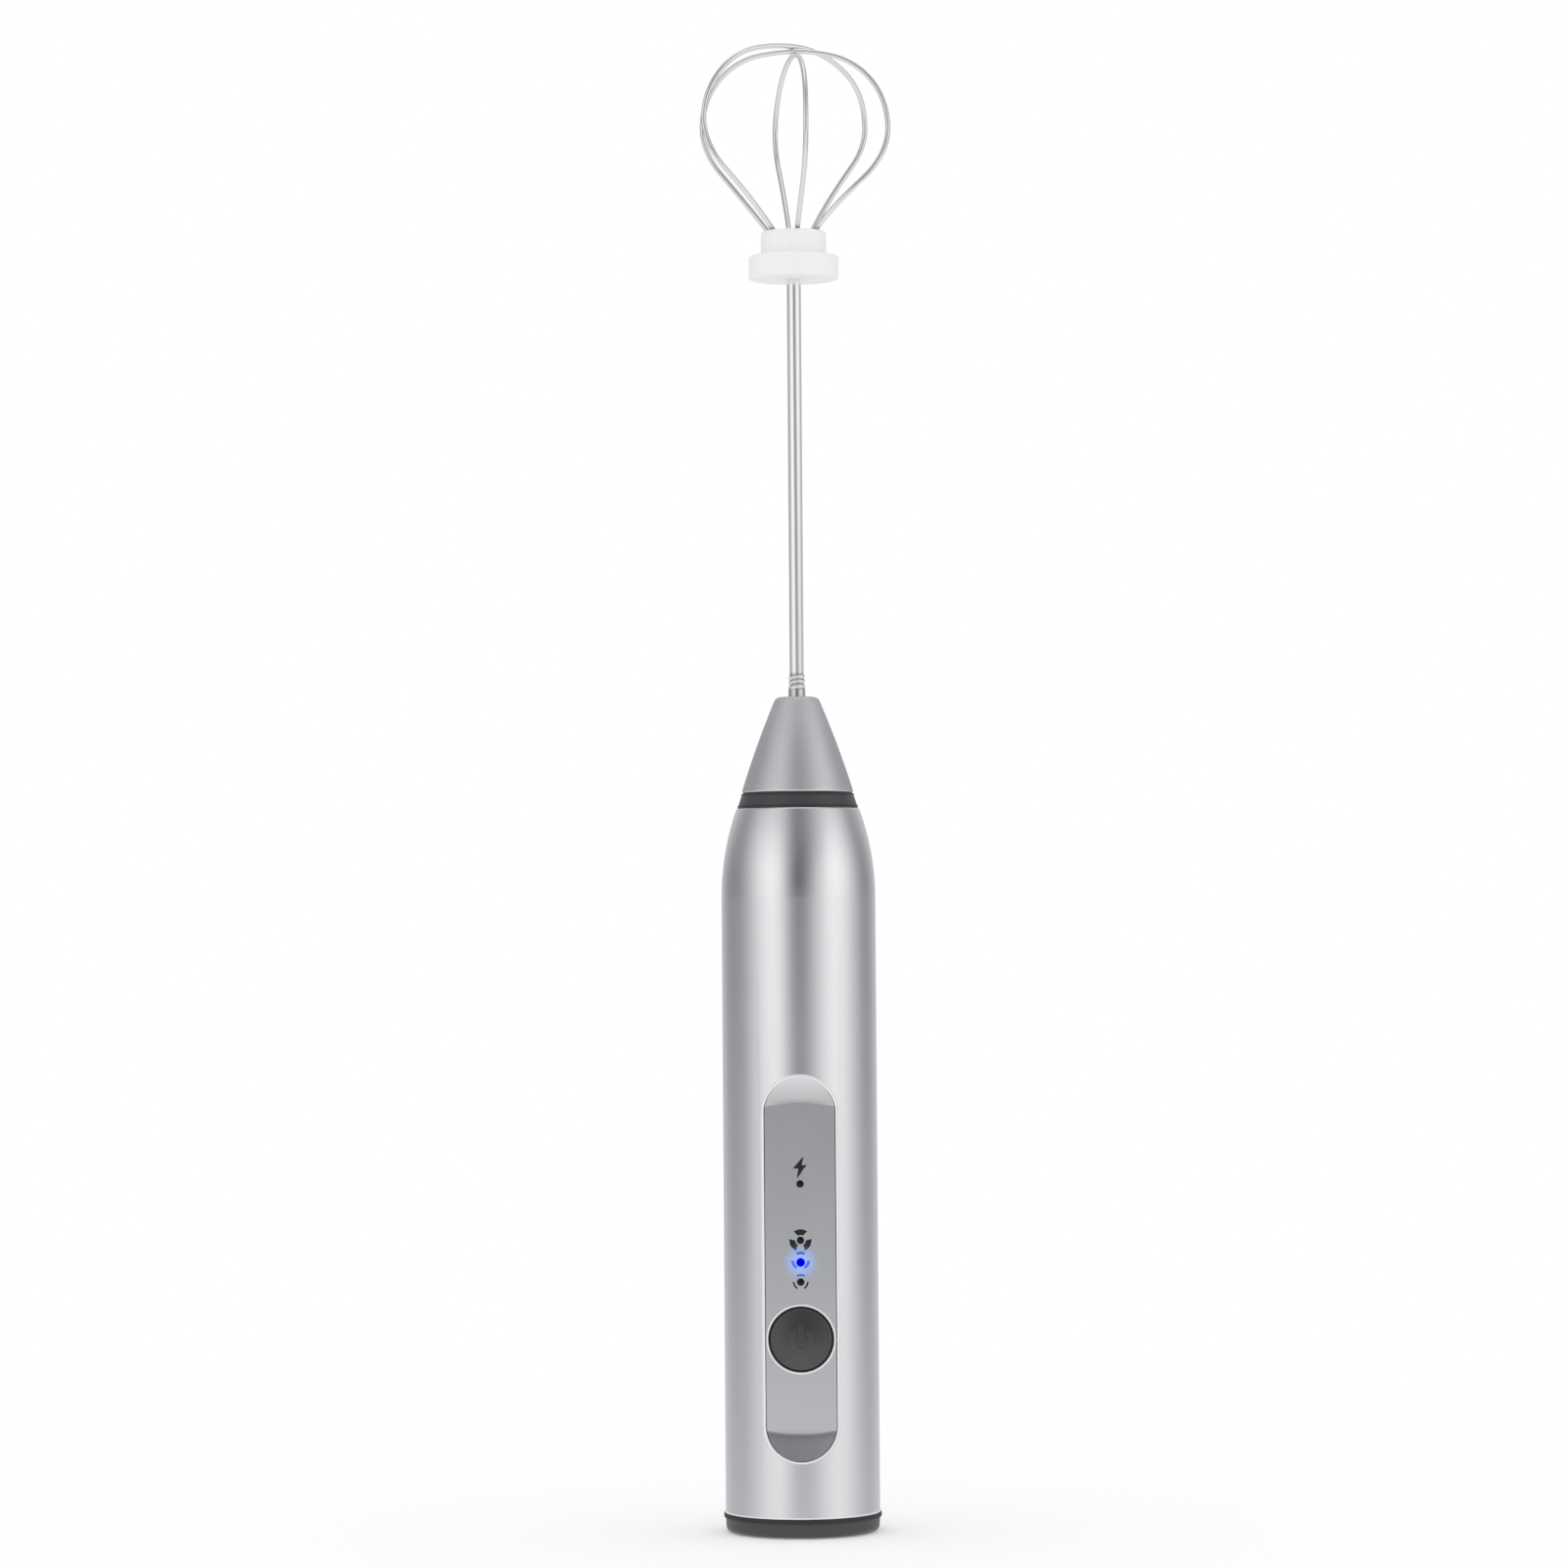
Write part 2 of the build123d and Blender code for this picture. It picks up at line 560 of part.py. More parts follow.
with BuildPart() as indicator_leds:
    with BuildSketch(front_plane(BOARD_FRONT_Y)):
        with Locations(*[(0, z) for z in LIGHTS.values()]):
            Rectangle(LED_SIZE, LED_SIZE)
    extrude(amount=LED_HEIGHT)
write_piece(indicator_leds, "indicator_leds")

Z_CHIP_HIGH = (LIGHTS["charge_lens"] + Z_PANEL_TOP - PANEL_FOOT) / 2
Z_CHIP_LOW = (BUTTON_Z - BUTTON_R + Z_PANEL_BOTTOM + PANEL_FOOT) / 2

with BuildPart() as board_chips:
    with BuildSketch(front_plane(BOARD_FRONT_Y)):
        with Locations((0, Z_CHIP_HIGH), (0, Z_CHIP_LOW)):
            Rectangle(CHIP_SIZE, CHIP_SIZE)
    extrude(amount=CHIP_HEIGHT)
write_piece(board_chips, "board_chips")

# Charging socket: a flat metal sleeve with a tongue, opening downwards through the base
with BuildPart() as charge_socket:
    with BuildSketch(Plane.XY.offset(USB_RECESS)):
        with Locations((0, USB_Y)):
            SlotOverall(USB_WIDTH, USB_HEIGHT)
    extrude(amount=USB_LENGTH)
    with BuildSketch(Plane.XY.offset(USB_RECESS)):
        with Locations((0, USB_Y)):
            SlotOverall(USB_WIDTH - 2 * USB_WALL, USB_HEIGHT - 2 * USB_WALL)
    extrude(amount=USB_LENGTH - USB_BACK, mode=Mode.SUBTRACT)
write_piece(charge_socket, "charge_socket")

with BuildPart() as charge_tongue:
    with BuildSketch(Plane.XY.offset(USB_RECESS + TONGUE_RECESS)):
        with Locations((0, USB_Y)):
            Rectangle(TONGUE_WIDTH, TONGUE_THICKNESS)
    extrude(amount=USB_LENGTH - USB_BACK - TONGUE_RECESS)
write_piece(charge_tongue, "charge_tongue")

# Chassis: the cradle inside the tube that holds the motor, the battery and the circuit board
MOTOR_BAY_R = MOTOR_R + CHASSIS_GAP
BATTERY_BAY_R = BATTERY_R + CHASSIS_GAP
BAY_LENGTH = BATTERY_LENGTH + 2 * (TAB_THICKNESS + FIT)
TAB_ROOM_LENGTH = BATTERY_LENGTH + 2 * (TAB_LEG + LOOSE)
LEAD_SLOT_WIDTH = LEAD_DIA + 2 * LEAD_ROOM
LEAD_SLOT_BACK = TERMINAL_WIDTH / 2 + LEAD_ROOM
LEAD_SLOT_DEPTH = LEAD_SLOT_BACK - BOARD_BACK_Y
Z_LEAD_SLOT = Z_LEAD_END - LEAD_DIA / 2 - LEAD_ROOM

with BuildPart() as chassis:
    with BuildSketch(Plane.XY.offset(Z_SPIGOT_TOP)):
        Circle(CHASSIS_R)
    extrude(amount=Z_SHOULDER - Z_SPIGOT_TOP)
    with BuildSketch(Plane.XY.offset(Z_MOTOR_REAR)):
        Circle(MOTOR_BAY_R)
    extrude(amount=MOTOR_LENGTH, mode=Mode.SUBTRACT)
    with BuildSketch(Plane.XY.offset(Z_SPIGOT_TOP)):
        with Locations((0, BOARD_BACK_Y)):
            Rectangle(HANDLE_DIA, HANDLE_DIA, align=(Align.CENTER, Align.MAX))
    extrude(amount=Z_MOTOR_REAR - Z_SPIGOT_TOP, mode=Mode.SUBTRACT)
    with BuildSketch(Plane.XY.offset(BATTERY_Z - BAY_LENGTH / 2)):
        with Locations((0, BATTERY_Y)):
            Circle(BATTERY_BAY_R)
            Rectangle(2 * BATTERY_BAY_R, HANDLE_DIA, align=(Align.CENTER, Align.MAX))
    extrude(amount=BAY_LENGTH, mode=Mode.SUBTRACT)
    with BuildSketch(Plane.XY.offset(BATTERY_Z - TAB_ROOM_LENGTH / 2)):
        with Locations((0, BOARD_BACK_Y)):
            Rectangle(TAB_WIDTH + 2 * LOOSE, TAB_THICKNESS + LOOSE, align=(Align.CENTER, Align.MIN))
    extrude(amount=TAB_ROOM_LENGTH, mode=Mode.SUBTRACT)
    with BuildSketch(Plane.XY.offset(Z_LEAD_SLOT)):
        with Locations((-TERMINAL_X, LEAD_SLOT_BACK), (TERMINAL_X, LEAD_SLOT_BACK)):
            Rectangle(LEAD_SLOT_WIDTH, LEAD_SLOT_DEPTH, align=(Align.CENTER, Align.MAX))
    extrude(amount=Z_MOTOR_REAR - Z_LEAD_SLOT, mode=Mode.SUBTRACT)
    with BuildSketch(front_plane(BOARD_BACK_Y)):
        with Locations(*BOARD_SCREW_PLACES):
            Circle(BOARD_SCREW_DIA / 2 + PRESS)
    extrude(amount=-(BOARD_SCREW_LENGTH - BOARD_THICKNESS + LOOSE), mode=Mode.SUBTRACT)
    with BuildSketch(Plane.XY.offset(USB_RECESS)):
        with Locations((0, USB_Y)):
            Rectangle(USB_WIDTH + 2 * LOOSE, USB_HEIGHT + 2 * LOOSE)
    extrude(amount=USB_LENGTH + LOOSE, mode=Mode.SUBTRACT)
write_piece(chassis, "chassis")

# Battery cell and the metal strips that join its two ends to the board
TAB_REACH = BATTERY_Y - BOARD_BACK_Y + TAB_OVERLAP

with BuildPart() as battery_cell:
    with BuildSketch(Plane.XY.offset(Z_BATTERY_BOTTOM)):
        with Locations((0, BATTERY_Y)):
            Circle(BATTERY_R)
    extrude(amount=BATTERY_LENGTH)
    fillet(battery_cell.edges().filter_by(GeomType.CIRCLE), BATTERY_EDGE)
write_piece(battery_cell, "battery_cell")

for name, end, way in (("battery_tab_top", Z_BATTERY_TOP, 1), ("battery_tab_bottom", Z_BATTERY_BOTTOM, -1)):
    with BuildPart() as battery_tab:
        with BuildSketch(Plane.XY.offset(end)):
            with Locations((0, BOARD_BACK_Y)):
                Rectangle(TAB_WIDTH, TAB_REACH, align=(Align.CENTER, Align.MIN))
        extrude(amount=way * TAB_THICKNESS)
        with BuildSketch(Plane.XY.offset(end)):
            with Locations((0, BOARD_BACK_Y)):
                Rectangle(TAB_WIDTH, TAB_THICKNESS, align=(Align.CENTER, Align.MIN))
        extrude(amount=way * TAB_LEG)
    write_piece(battery_tab, name)

# Motor mount: the disc between the motor and the tube's neck, with two sunk screws
SCREW_HEAD_Z = Z_SEAT - MOUNT_SCREW_HEAD
MOUNT_R = SEAT_R - FIT

with BuildPart() as motor_mount:
    with BuildSketch(Plane.XY.offset(Z_MOTOR_FRONT)):
        Circle(MOUNT_R)
    extrude(amount=MOUNT_THICKNESS)
    with Locations((0, 0, Z_SEAT)):
        Hole(BOSS_DIA / 2 + FIT)
        with PolarLocations(MOUNT_SCREW_SPACING / 2, 2):
            CounterBoreHole(MOUNT_SCREW_DIA / 2 + FIT, MOUNT_SCREW_HEAD_DIA / 2 + FIT, MOUNT_SCREW_HEAD)
write_piece(motor_mount, "motor_mount")

with BuildPart() as mount_screws:
    with BuildSketch(Plane.XY.offset(SCREW_HEAD_Z)):
        with PolarLocations(MOUNT_SCREW_SPACING / 2, 2):
            Circle(MOUNT_SCREW_HEAD_DIA / 2)
    extrude(amount=MOUNT_SCREW_HEAD)
    with BuildSketch(Plane.XY.offset(Z_MOTOR_FRONT - CAN_WALL)):
        with PolarLocations(MOUNT_SCREW_SPACING / 2, 2):
            Circle(MOUNT_SCREW_DIA / 2)
    extrude(amount=SCREW_HEAD_Z - Z_MOTOR_FRONT + CAN_WALL)
write_piece(mount_screws, "mount_screws")

# Motor can and end cap: the steel case with two flats and the plastic cap that closes it
with BuildPart() as motor_can:
    with BuildSketch(Plane.XY.offset(Z_CAN_BOTTOM)):
        Circle(MOTOR_R)
        Rectangle(MOTOR_DIA, MOTOR_FLATS, mode=Mode.INTERSECT)
    extrude(amount=CAN_LENGTH)
    with BuildSketch(Plane.XY.offset(Z_CAN_BOTTOM)):
        Circle(MOTOR_R - CAN_WALL)
        Rectangle(MOTOR_DIA, MOTOR_FLATS - 2 * CAN_WALL, mode=Mode.INTERSECT)
    extrude(amount=CAN_LENGTH - CAN_WALL, mode=Mode.SUBTRACT)
    with BuildSketch(Plane.XY.offset(Z_MOTOR_FRONT)):
        Circle(BOSS_DIA / 2)
    extrude(amount=BOSS_HEIGHT)
    with Locations((0, 0, Z_MOTOR_FRONT + BOSS_HEIGHT)):
        Hole(BEARING_R + PRESS)
        with PolarLocations(MOUNT_SCREW_SPACING / 2, 2):
            Hole(MOUNT_SCREW_DIA / 2 + PRESS)
write_piece(motor_can, "motor_can")

with BuildPart() as motor_end_cap:
    with BuildSketch(Plane.XY.offset(Z_MOTOR_REAR)):
        Circle(MOTOR_R)
        Rectangle(MOTOR_DIA, MOTOR_FLATS, mode=Mode.INTERSECT)
    extrude(amount=END_CAP_LENGTH)
    with BuildSketch(Plane.XY.offset(Z_MOTOR_REAR + END_CAP_FLOOR)):
        Circle(END_CAP_BORE_R)
    extrude(amount=END_CAP_LENGTH, mode=Mode.SUBTRACT)
    with Locations((0, 0, Z_MOTOR_REAR + END_CAP_FLOOR)):
        Hole(BEARING_R + PRESS)
    with BuildSketch(Plane.XY.offset(Z_MOTOR_REAR)):
        with Locations((-TERMINAL_X, 0), (TERMINAL_X, 0)):
            Rectangle(TERMINAL_THICKNESS + 2 * PRESS, TERMINAL_WIDTH + 2 * PRESS)
    extrude(amount=TERMINAL_SEAT, mode=Mode.SUBTRACT)
write_piece(motor_end_cap, "motor_end_cap")

# Motor bearings, magnets, brushes and terminals
for name, base, length in (
    ("motor_bearing_front", Z_MOTOR_FRONT - CAN_WALL, CAN_WALL + BOSS_HEIGHT),
    ("motor_bearing_rear", Z_MOTOR_REAR, END_CAP_FLOOR),
):
    with BuildPart() as bearing:
        with BuildSketch(Plane.XY.offset(base)):
            Circle(BEARING_R)
            Circle(SHAFT_R + RUN, mode=Mode.SUBTRACT)
        extrude(amount=length)
    write_piece(bearing, name)

with BuildPart() as motor_magnets:
    with BuildSketch(Plane.XY.offset(Z_CORE - MAGNET_LENGTH / 2)):
        Circle(MAGNET_OUTER_R)
        Circle(MAGNET_INNER_R, mode=Mode.SUBTRACT)
        Rectangle(MOTOR_DIA, MAGNET_HEIGHT, mode=Mode.INTERSECT)
    extrude(amount=MAGNET_LENGTH)
write_piece(motor_magnets, "motor_magnets")

COMMUTATOR_R = COMMUTATOR_DIA / 2
Z_COMMUTATOR = Z_MOTOR_REAR + END_CAP_FLOOR + LOOSE
BRUSH_REACH = END_CAP_BORE_R - FIT - COMMUTATOR_R - RUN

with BuildPart() as motor_brushes:
    with Locations((0, 0, Z_COMMUTATOR + COMMUTATOR_LENGTH / 2)):
        with PolarLocations(COMMUTATOR_R + RUN + BRUSH_REACH / 2, 2):
            Box(BRUSH_REACH, BRUSH_SIZE, BRUSH_SIZE)
write_piece(motor_brushes, "motor_brushes")

with BuildPart() as motor_terminals:
    with BuildSketch(Plane.XY.offset(Z_TERMINAL_END)):
        with Locations((-TERMINAL_X, 0), (TERMINAL_X, 0)):
            Rectangle(TERMINAL_THICKNESS, TERMINAL_WIDTH)
    extrude(amount=TERMINAL_DROP + TERMINAL_SEAT)
write_piece(motor_terminals, "motor_terminals")

# Motor leads: two insulated wires from the terminals down and forward to the back of the board
for name, x in (("motor_lead_left", -TERMINAL_X), ("motor_lead_right", TERMINAL_X)):
    with BuildPart() as lead:
        with BuildLine() as route:
            FilletPolyline(
                (x, 0, Z_TERMINAL_END),
                (x, 0, Z_LEAD_END),
                (x, BOARD_BACK_Y, Z_LEAD_END),
                radius=LEAD_BEND,
            )
        with BuildSketch(Plane(origin=route.line @ 0, z_dir=route.line % 0)):
            Circle(LEAD_DIA / 2)
        sweep()
    write_piece(lead, name)

# Armature: the shaft, the slotted iron core, its coils and the commutator, which turn together
with BuildPart() as motor_shaft:
    with BuildSketch(Plane.XY.offset(Z_MOTOR_REAR + LOOSE)):
        Circle(SHAFT_R)
    extrude(amount=Z_SHAFT_TOP - Z_MOTOR_REAR - LOOSE)
write_piece(motor_shaft, "motor_shaft")

with BuildPart() as armature_core:
    with BuildSketch(Plane.XY.offset(Z_CORE - CORE_LENGTH / 2)):
        Circle(CORE_R)
        Circle(CORE_ARM_R, mode=Mode.SUBTRACT)
        with PolarLocations(CORE_R, CORE_POLES, start_angle=90 + 180 / CORE_POLES):
            Rectangle(CORE_R, CORE_SLOT, mode=Mode.SUBTRACT)
        with PolarLocations(0, CORE_POLES, start_angle=90):
            Rectangle(CORE_ARM_R + CORE_SHOE / 2, CORE_ARM, align=(Align.MIN, Align.CENTER))
        Circle(CORE_HUB_DIA / 2)
        Circle(SHAFT_R + PRESS, mode=Mode.SUBTRACT)
    extrude(amount=CORE_LENGTH)
write_piece(armature_core, "armature_core")

COIL_WIDTH = CORE_ARM + 2 * COIL_BUILD
COIL_INNER_R = CORE_HUB_DIA / 2 + LOOSE
COIL_RADIAL = math.sqrt((CORE_ARM_R - LOOSE) ** 2 - (COIL_WIDTH / 2) ** 2) - COIL_INNER_R

with BuildPart() as armature_coils:
    with Locations((0, 0, Z_CORE)):
        with PolarLocations(COIL_INNER_R + COIL_RADIAL / 2, CORE_POLES, start_angle=90):
            Box(COIL_RADIAL, COIL_WIDTH, CORE_LENGTH + 2 * COIL_BUILD)
            Box(COIL_RADIAL, CORE_ARM + 2 * PRESS, CORE_LENGTH + 2 * PRESS, mode=Mode.SUBTRACT)
write_piece(armature_coils, "armature_coils")

with BuildPart() as commutator:
    with BuildSketch(Plane.XY.offset(Z_COMMUTATOR)):
        Circle(COMMUTATOR_R)
        Circle(SHAFT_R + PRESS, mode=Mode.SUBTRACT)
        with PolarLocations(COMMUTATOR_R, CORE_POLES, start_angle=90):
            Rectangle(COMMUTATOR_R - SHAFT_R, COMMUTATOR_SLOT, mode=Mode.SUBTRACT)
    extrude(amount=COMMUTATOR_LENGTH)
write_piece(commutator, "commutator")

# Drive socket: a sleeve on the motor shaft whose upper bore takes the whisk's flatted plug
PLUG_BORE_R = PLUG_R + RUN
PLUG_FLAT_X = PLUG_R - PLUG_FLAT_DEPTH
Z_KEY_TOP = Z_PLUG_BOTTOM + PLUG_FLAT_LENGTH - LOOSE

with BuildPart() as drive_socket:
    with BuildSketch(Plane.XY.offset(Z_SOCKET_BOTTOM)):
        Circle(SOCKET_R)
    extrude(amount=Z_SOCKET_TOP - Z_SOCKET_BOTTOM)
    with BuildSketch(Plane.XY.offset(Z_SOCKET_BOTTOM)):
        Circle(SHAFT_R + PRESS)
    extrude(amount=SHAFT_GRIP, mode=Mode.SUBTRACT)
    with BuildSketch(Plane.XY.offset(Z_SOCKET_FLOOR)):
        Circle(PLUG_BORE_R)
        with Locations((PLUG_FLAT_X + RUN, 0)):
            Rectangle(2 * PLUG_R, 2 * PLUG_DIA, align=(Align.MAX, Align.CENTER), mode=Mode.INTERSECT)
    extrude(amount=Z_KEY_TOP - Z_SOCKET_FLOOR, mode=Mode.SUBTRACT)
    with BuildSketch(Plane.XY.offset(Z_KEY_TOP)):
        Circle(PLUG_BORE_R)
    extrude(amount=Z_SOCKET_TOP - Z_KEY_TOP, mode=Mode.SUBTRACT)
write_piece(drive_socket, "drive_socket")

# Whisk stem: a steel rod whose lower end is a plug with grip ribs and a flat that the socket drives
Z_RIBS = Z_PLUG_TOP - RIB_LENGTH
RIB_COUNT = round(RIB_LENGTH / RIB_PITCH)
RIB_STEP = RIB_LENGTH / RIB_COUNT
rib_points = []
for rib in range(RIB_COUNT):
    rib_points.append((PLUG_R - RIB_DEPTH, Z_RIBS + rib * RIB_STEP))
    rib_points.append((PLUG_R, Z_RIBS + (rib + 0.5) * RIB_STEP))

with BuildPart() as whisk_stem:
    with BuildSketch(Plane.XZ):
        with BuildLine():
            Polyline(
                (0, Z_PLUG_BOTTOM),
                (PLUG_R, Z_PLUG_BOTTOM),
                (PLUG_R, Z_RIBS - RIB_STEP / 2),
                *rib_points,
                (STEM_R, Z_PLUG_TOP),
                (STEM_R, Z_STEM_TOP),
                (0, Z_STEM_TOP),
                close=True,
            )
        make_face()
    revolve(axis=Axis.Z)
    with BuildSketch(Plane.XY.offset(Z_PLUG_BOTTOM)):
        with Locations((PLUG_FLAT_X, 0)):
            Rectangle(PLUG_R, PLUG_DIA, align=(Align.MIN, Align.CENTER))
    extrude(amount=PLUG_FLAT_LENGTH, mode=Mode.SUBTRACT)
write_piece(whisk_stem, "whisk_stem")

# Whisk loops: each leaves the hub on a straight leg, swells through a side arc and closes over a crown arc.
# They cross over the axis one above the other, so each lies one wire lower than the loop before it.
SIDE_X = LOOP_DIA / 2 - WIRE_R - LOOP_SIDE_R


def loop_plane(index):
    """Upright plane through the axis in which a loop lies."""
    return Plane.XZ.rotated((0, 0, LOOP_TURN - index * 180 / LOOP_COUNT))


def belly_height(index):
    """Height of a loop's widest point."""
    return Z_HUB_TOP + LOOP_BELLY - index * (WIRE_DIA + LOOP_GAP)


def leg_angle(index):
    """Angle from the horizontal of the leg that runs from its hole tangent to the side arc."""
    run = SIDE_X - WIRE_EXIT_R
    rise = belly_height(index) - Z_HUB_TOP
    return math.atan2(rise, run) - math.asin(LOOP_SIDE_R / math.hypot(run, rise))


def leg_point(index, distance):
    """Point on a loop's right leg, at a distance along it from the hub's top."""
    angle = leg_angle(index)
    return WIRE_EXIT_R + distance * math.cos(angle), Z_HUB_TOP + distance * math.sin(angle)


def leg_length(index):
    """Length of the leg from the hub's top to where the side arc begins."""
    reach = math.hypot(SIDE_X - WIRE_EXIT_R, belly_height(index) - Z_HUB_TOP)
    return math.sqrt(reach**2 - LOOP_SIDE_R**2)


for index in range(LOOP_COUNT):
    belly_z = belly_height(index)
    crown_z = belly_z - math.sqrt((LOOP_CROWN_R - LOOP_SIDE_R) ** 2 - SIDE_X**2)
    arc_start = math.degrees(leg_angle(index)) - 90
    arc_end = math.degrees(math.atan2(belly_z - crown_z, SIDE_X))
    foot_x, foot_z = leg_point(index, -WIRE_IN_HUB)
    bend_x, bend_z = leg_point(index, leg_length(index))
    with BuildPart() as whisk_loop:
        with BuildLine(loop_plane(index)) as path:
            Line((foot_x, foot_z), (bend_x, bend_z))
            CenterArc((SIDE_X, belly_z), LOOP_SIDE_R, arc_start, arc_end - arc_start)
            CenterArc((0, crown_z), LOOP_CROWN_R, arc_end, 180 - 2 * arc_end)
            CenterArc((-SIDE_X, belly_z), LOOP_SIDE_R, 180 - arc_end, arc_end - arc_start)
            Line((-bend_x, bend_z), (-foot_x, foot_z))
        with BuildSketch(Plane(origin=path.line @ 0, z_dir=path.line % 0)):
            Circle(WIRE_R)
        sweep()
    write_piece(whisk_loop, f"whisk_loop_{index + 1}")

# Whisk hub: the stepped white plug that holds the stem from below and the wires from above
FLANGE_R = HUB_FLANGE_DIA / 2
COLLAR_R = HUB_COLLAR_DIA / 2


def outer_rim(edge):
    """True for the hub's round outer edges, apart from the inner corner of the step."""
    in_corner = abs(edge.radius - COLLAR_R) < FIT and abs(edge.center().Z - Z_HUB_STEP) < FIT
    return edge.radius > STEM_DIA and not in_corner


with BuildPart() as whisk_hub:
    with BuildSketch(Plane.XZ):
        with BuildLine():
            Polyline(
                (STEM_R + PRESS, Z_HUB_BOTTOM),
                (FLANGE_R, Z_HUB_BOTTOM),
                (FLANGE_R, Z_HUB_STEP),
                (COLLAR_R, Z_HUB_STEP),
                (COLLAR_R, Z_HUB_TOP),
                (0, Z_HUB_TOP),
                (0, Z_STEM_TOP),
                (STEM_R + PRESS, Z_STEM_TOP),
                close=True,
            )
        make_face()
    revolve(axis=Axis.Z)
    fillet(whisk_hub.edges().filter_by(GeomType.CIRCLE).filter_by(outer_rim), HUB_EDGE)
    for index in range(LOOP_COUNT):
        for side in (-1, 1):
            foot_x, foot_z = leg_point(index, -WIRE_IN_HUB - PRESS)
            out_x, out_z = leg_point(index, WIRE_DIA)
            foot = loop_plane(index).from_local_coords((side * foot_x, foot_z, 0))
            out = loop_plane(index).from_local_coords((side * out_x, out_z, 0))
            with BuildSketch(Plane(origin=foot, z_dir=out - foot)):
                Circle(WIRE_R + PRESS)
            extrude(amount=(out - foot).length, mode=Mode.SUBTRACT)
write_piece(whisk_hub, "whisk_hub")
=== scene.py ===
# %% [markdown]
# # A rechargeable milk frother
# The frame brings every solid part at its real size, in metres: the base stands on z = 0, the
# control panel faces -Y and the whisk points up. Nothing of the frame is moved here. This lesson
# adds the fine pieces that catch the eye, gives every surface its finish, and lights the object
# the way a product photographer would, between two tall soft boxes on a white floor.

import json
import math

import bmesh
import bpy
import numpy as np
from mathutils import Matrix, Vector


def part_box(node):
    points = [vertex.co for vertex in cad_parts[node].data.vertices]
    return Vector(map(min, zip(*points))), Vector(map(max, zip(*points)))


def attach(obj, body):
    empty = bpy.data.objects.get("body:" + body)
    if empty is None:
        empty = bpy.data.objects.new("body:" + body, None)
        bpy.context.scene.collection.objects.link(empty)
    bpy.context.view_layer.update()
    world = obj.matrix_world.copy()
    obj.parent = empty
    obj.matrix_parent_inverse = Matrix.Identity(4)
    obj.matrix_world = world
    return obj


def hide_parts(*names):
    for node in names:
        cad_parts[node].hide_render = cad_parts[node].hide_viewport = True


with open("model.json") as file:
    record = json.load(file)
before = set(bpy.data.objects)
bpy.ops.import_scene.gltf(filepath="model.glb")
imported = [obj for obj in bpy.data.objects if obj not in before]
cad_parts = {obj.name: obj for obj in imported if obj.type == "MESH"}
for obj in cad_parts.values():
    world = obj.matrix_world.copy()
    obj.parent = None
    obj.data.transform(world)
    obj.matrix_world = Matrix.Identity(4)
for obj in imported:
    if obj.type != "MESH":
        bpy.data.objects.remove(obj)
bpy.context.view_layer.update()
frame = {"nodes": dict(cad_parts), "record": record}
nodes = frame["nodes"]
scene = bpy.context.scene
MM = 0.001

# %% [markdown]
# ## The camera
# A long lens, about 0.9 m away and at less than half the object's height, shows the handle almost
# without perspective. The focal length could be guessed and corrected by eye. Here it is worked
# out from the picture instead: the row where level lines meet gives the tilt, and the width of the
# tube, whose size is known, gives the distance. The camera stands a few millimetres to the right and
# is turned back a little, and it is rolled by the small angle that the frother leans in the picture.

# %% Camera
PHOTO_SIDE = 1601
FOCAL_PIXELS = 5274
HORIZON_ROW = 947
STAND_OFF = 0.907
NEAREST = 0.05
EYE_HEIGHT = 0.10545
EYE_SIDE = 0.0075
EYE_TURN = math.radians(0.624)
LEAN = math.radians(0.43)

lens = bpy.data.cameras.new("studio_lens")
lens.lens = lens.sensor_width * FOCAL_PIXELS / PHOTO_SIDE
lens.clip_start = NEAREST
camera = bpy.data.objects.new("studio_camera", lens)
tilt = math.atan((HORIZON_ROW - PHOTO_SIDE / 2) / FOCAL_PIXELS)
aim = Matrix.Rotation(math.pi / 2 + tilt, 4, "X") @ Matrix.Rotation(-LEAN, 4, "Z")
stand = Matrix.Translation((EYE_SIDE, -STAND_OFF, EYE_HEIGHT))
camera.matrix_world = stand @ Matrix.Rotation(EYE_TURN, 4, "Z") @ aim
scene.collection.objects.link(camera)
scene.camera = camera
scene.view_settings.view_transform = "Standard"
print("lens", round(lens.lens, 1), "mm, tilted up", round(math.degrees(tilt), 2), "degrees")

# %% [markdown]
# ## Surfaces from grids of points
# Every new piece is a surface worked out with numpy: an array of rows and columns of points. One
# function turns such arrays into a mesh. It joins neighbours into quads, closes the seam where a
# surface runs all the way round, and merges a row that has shrunk to a point into a pole, so the
# piece is a closed shell with its faces outwards. The grid's own directions become the UV map.

# %% Grid to mesh
MERGE = 1e-7
SMOOTH_BELOW = math.radians(40)
piece_slots = {}


def grid_corners(values, round_columns, round_rows):
    """The four corner values of each quad of a grid, wrapped where the grid is closed."""
    if round_columns:
        values = np.concatenate([values, values[:, :1]], axis=1)
    if round_rows:
        values = np.concatenate([values, values[:1]], axis=0)
    return np.stack([values[:-1, :-1], values[:-1, 1:], values[1:, 1:], values[1:, :-1]], axis=2)


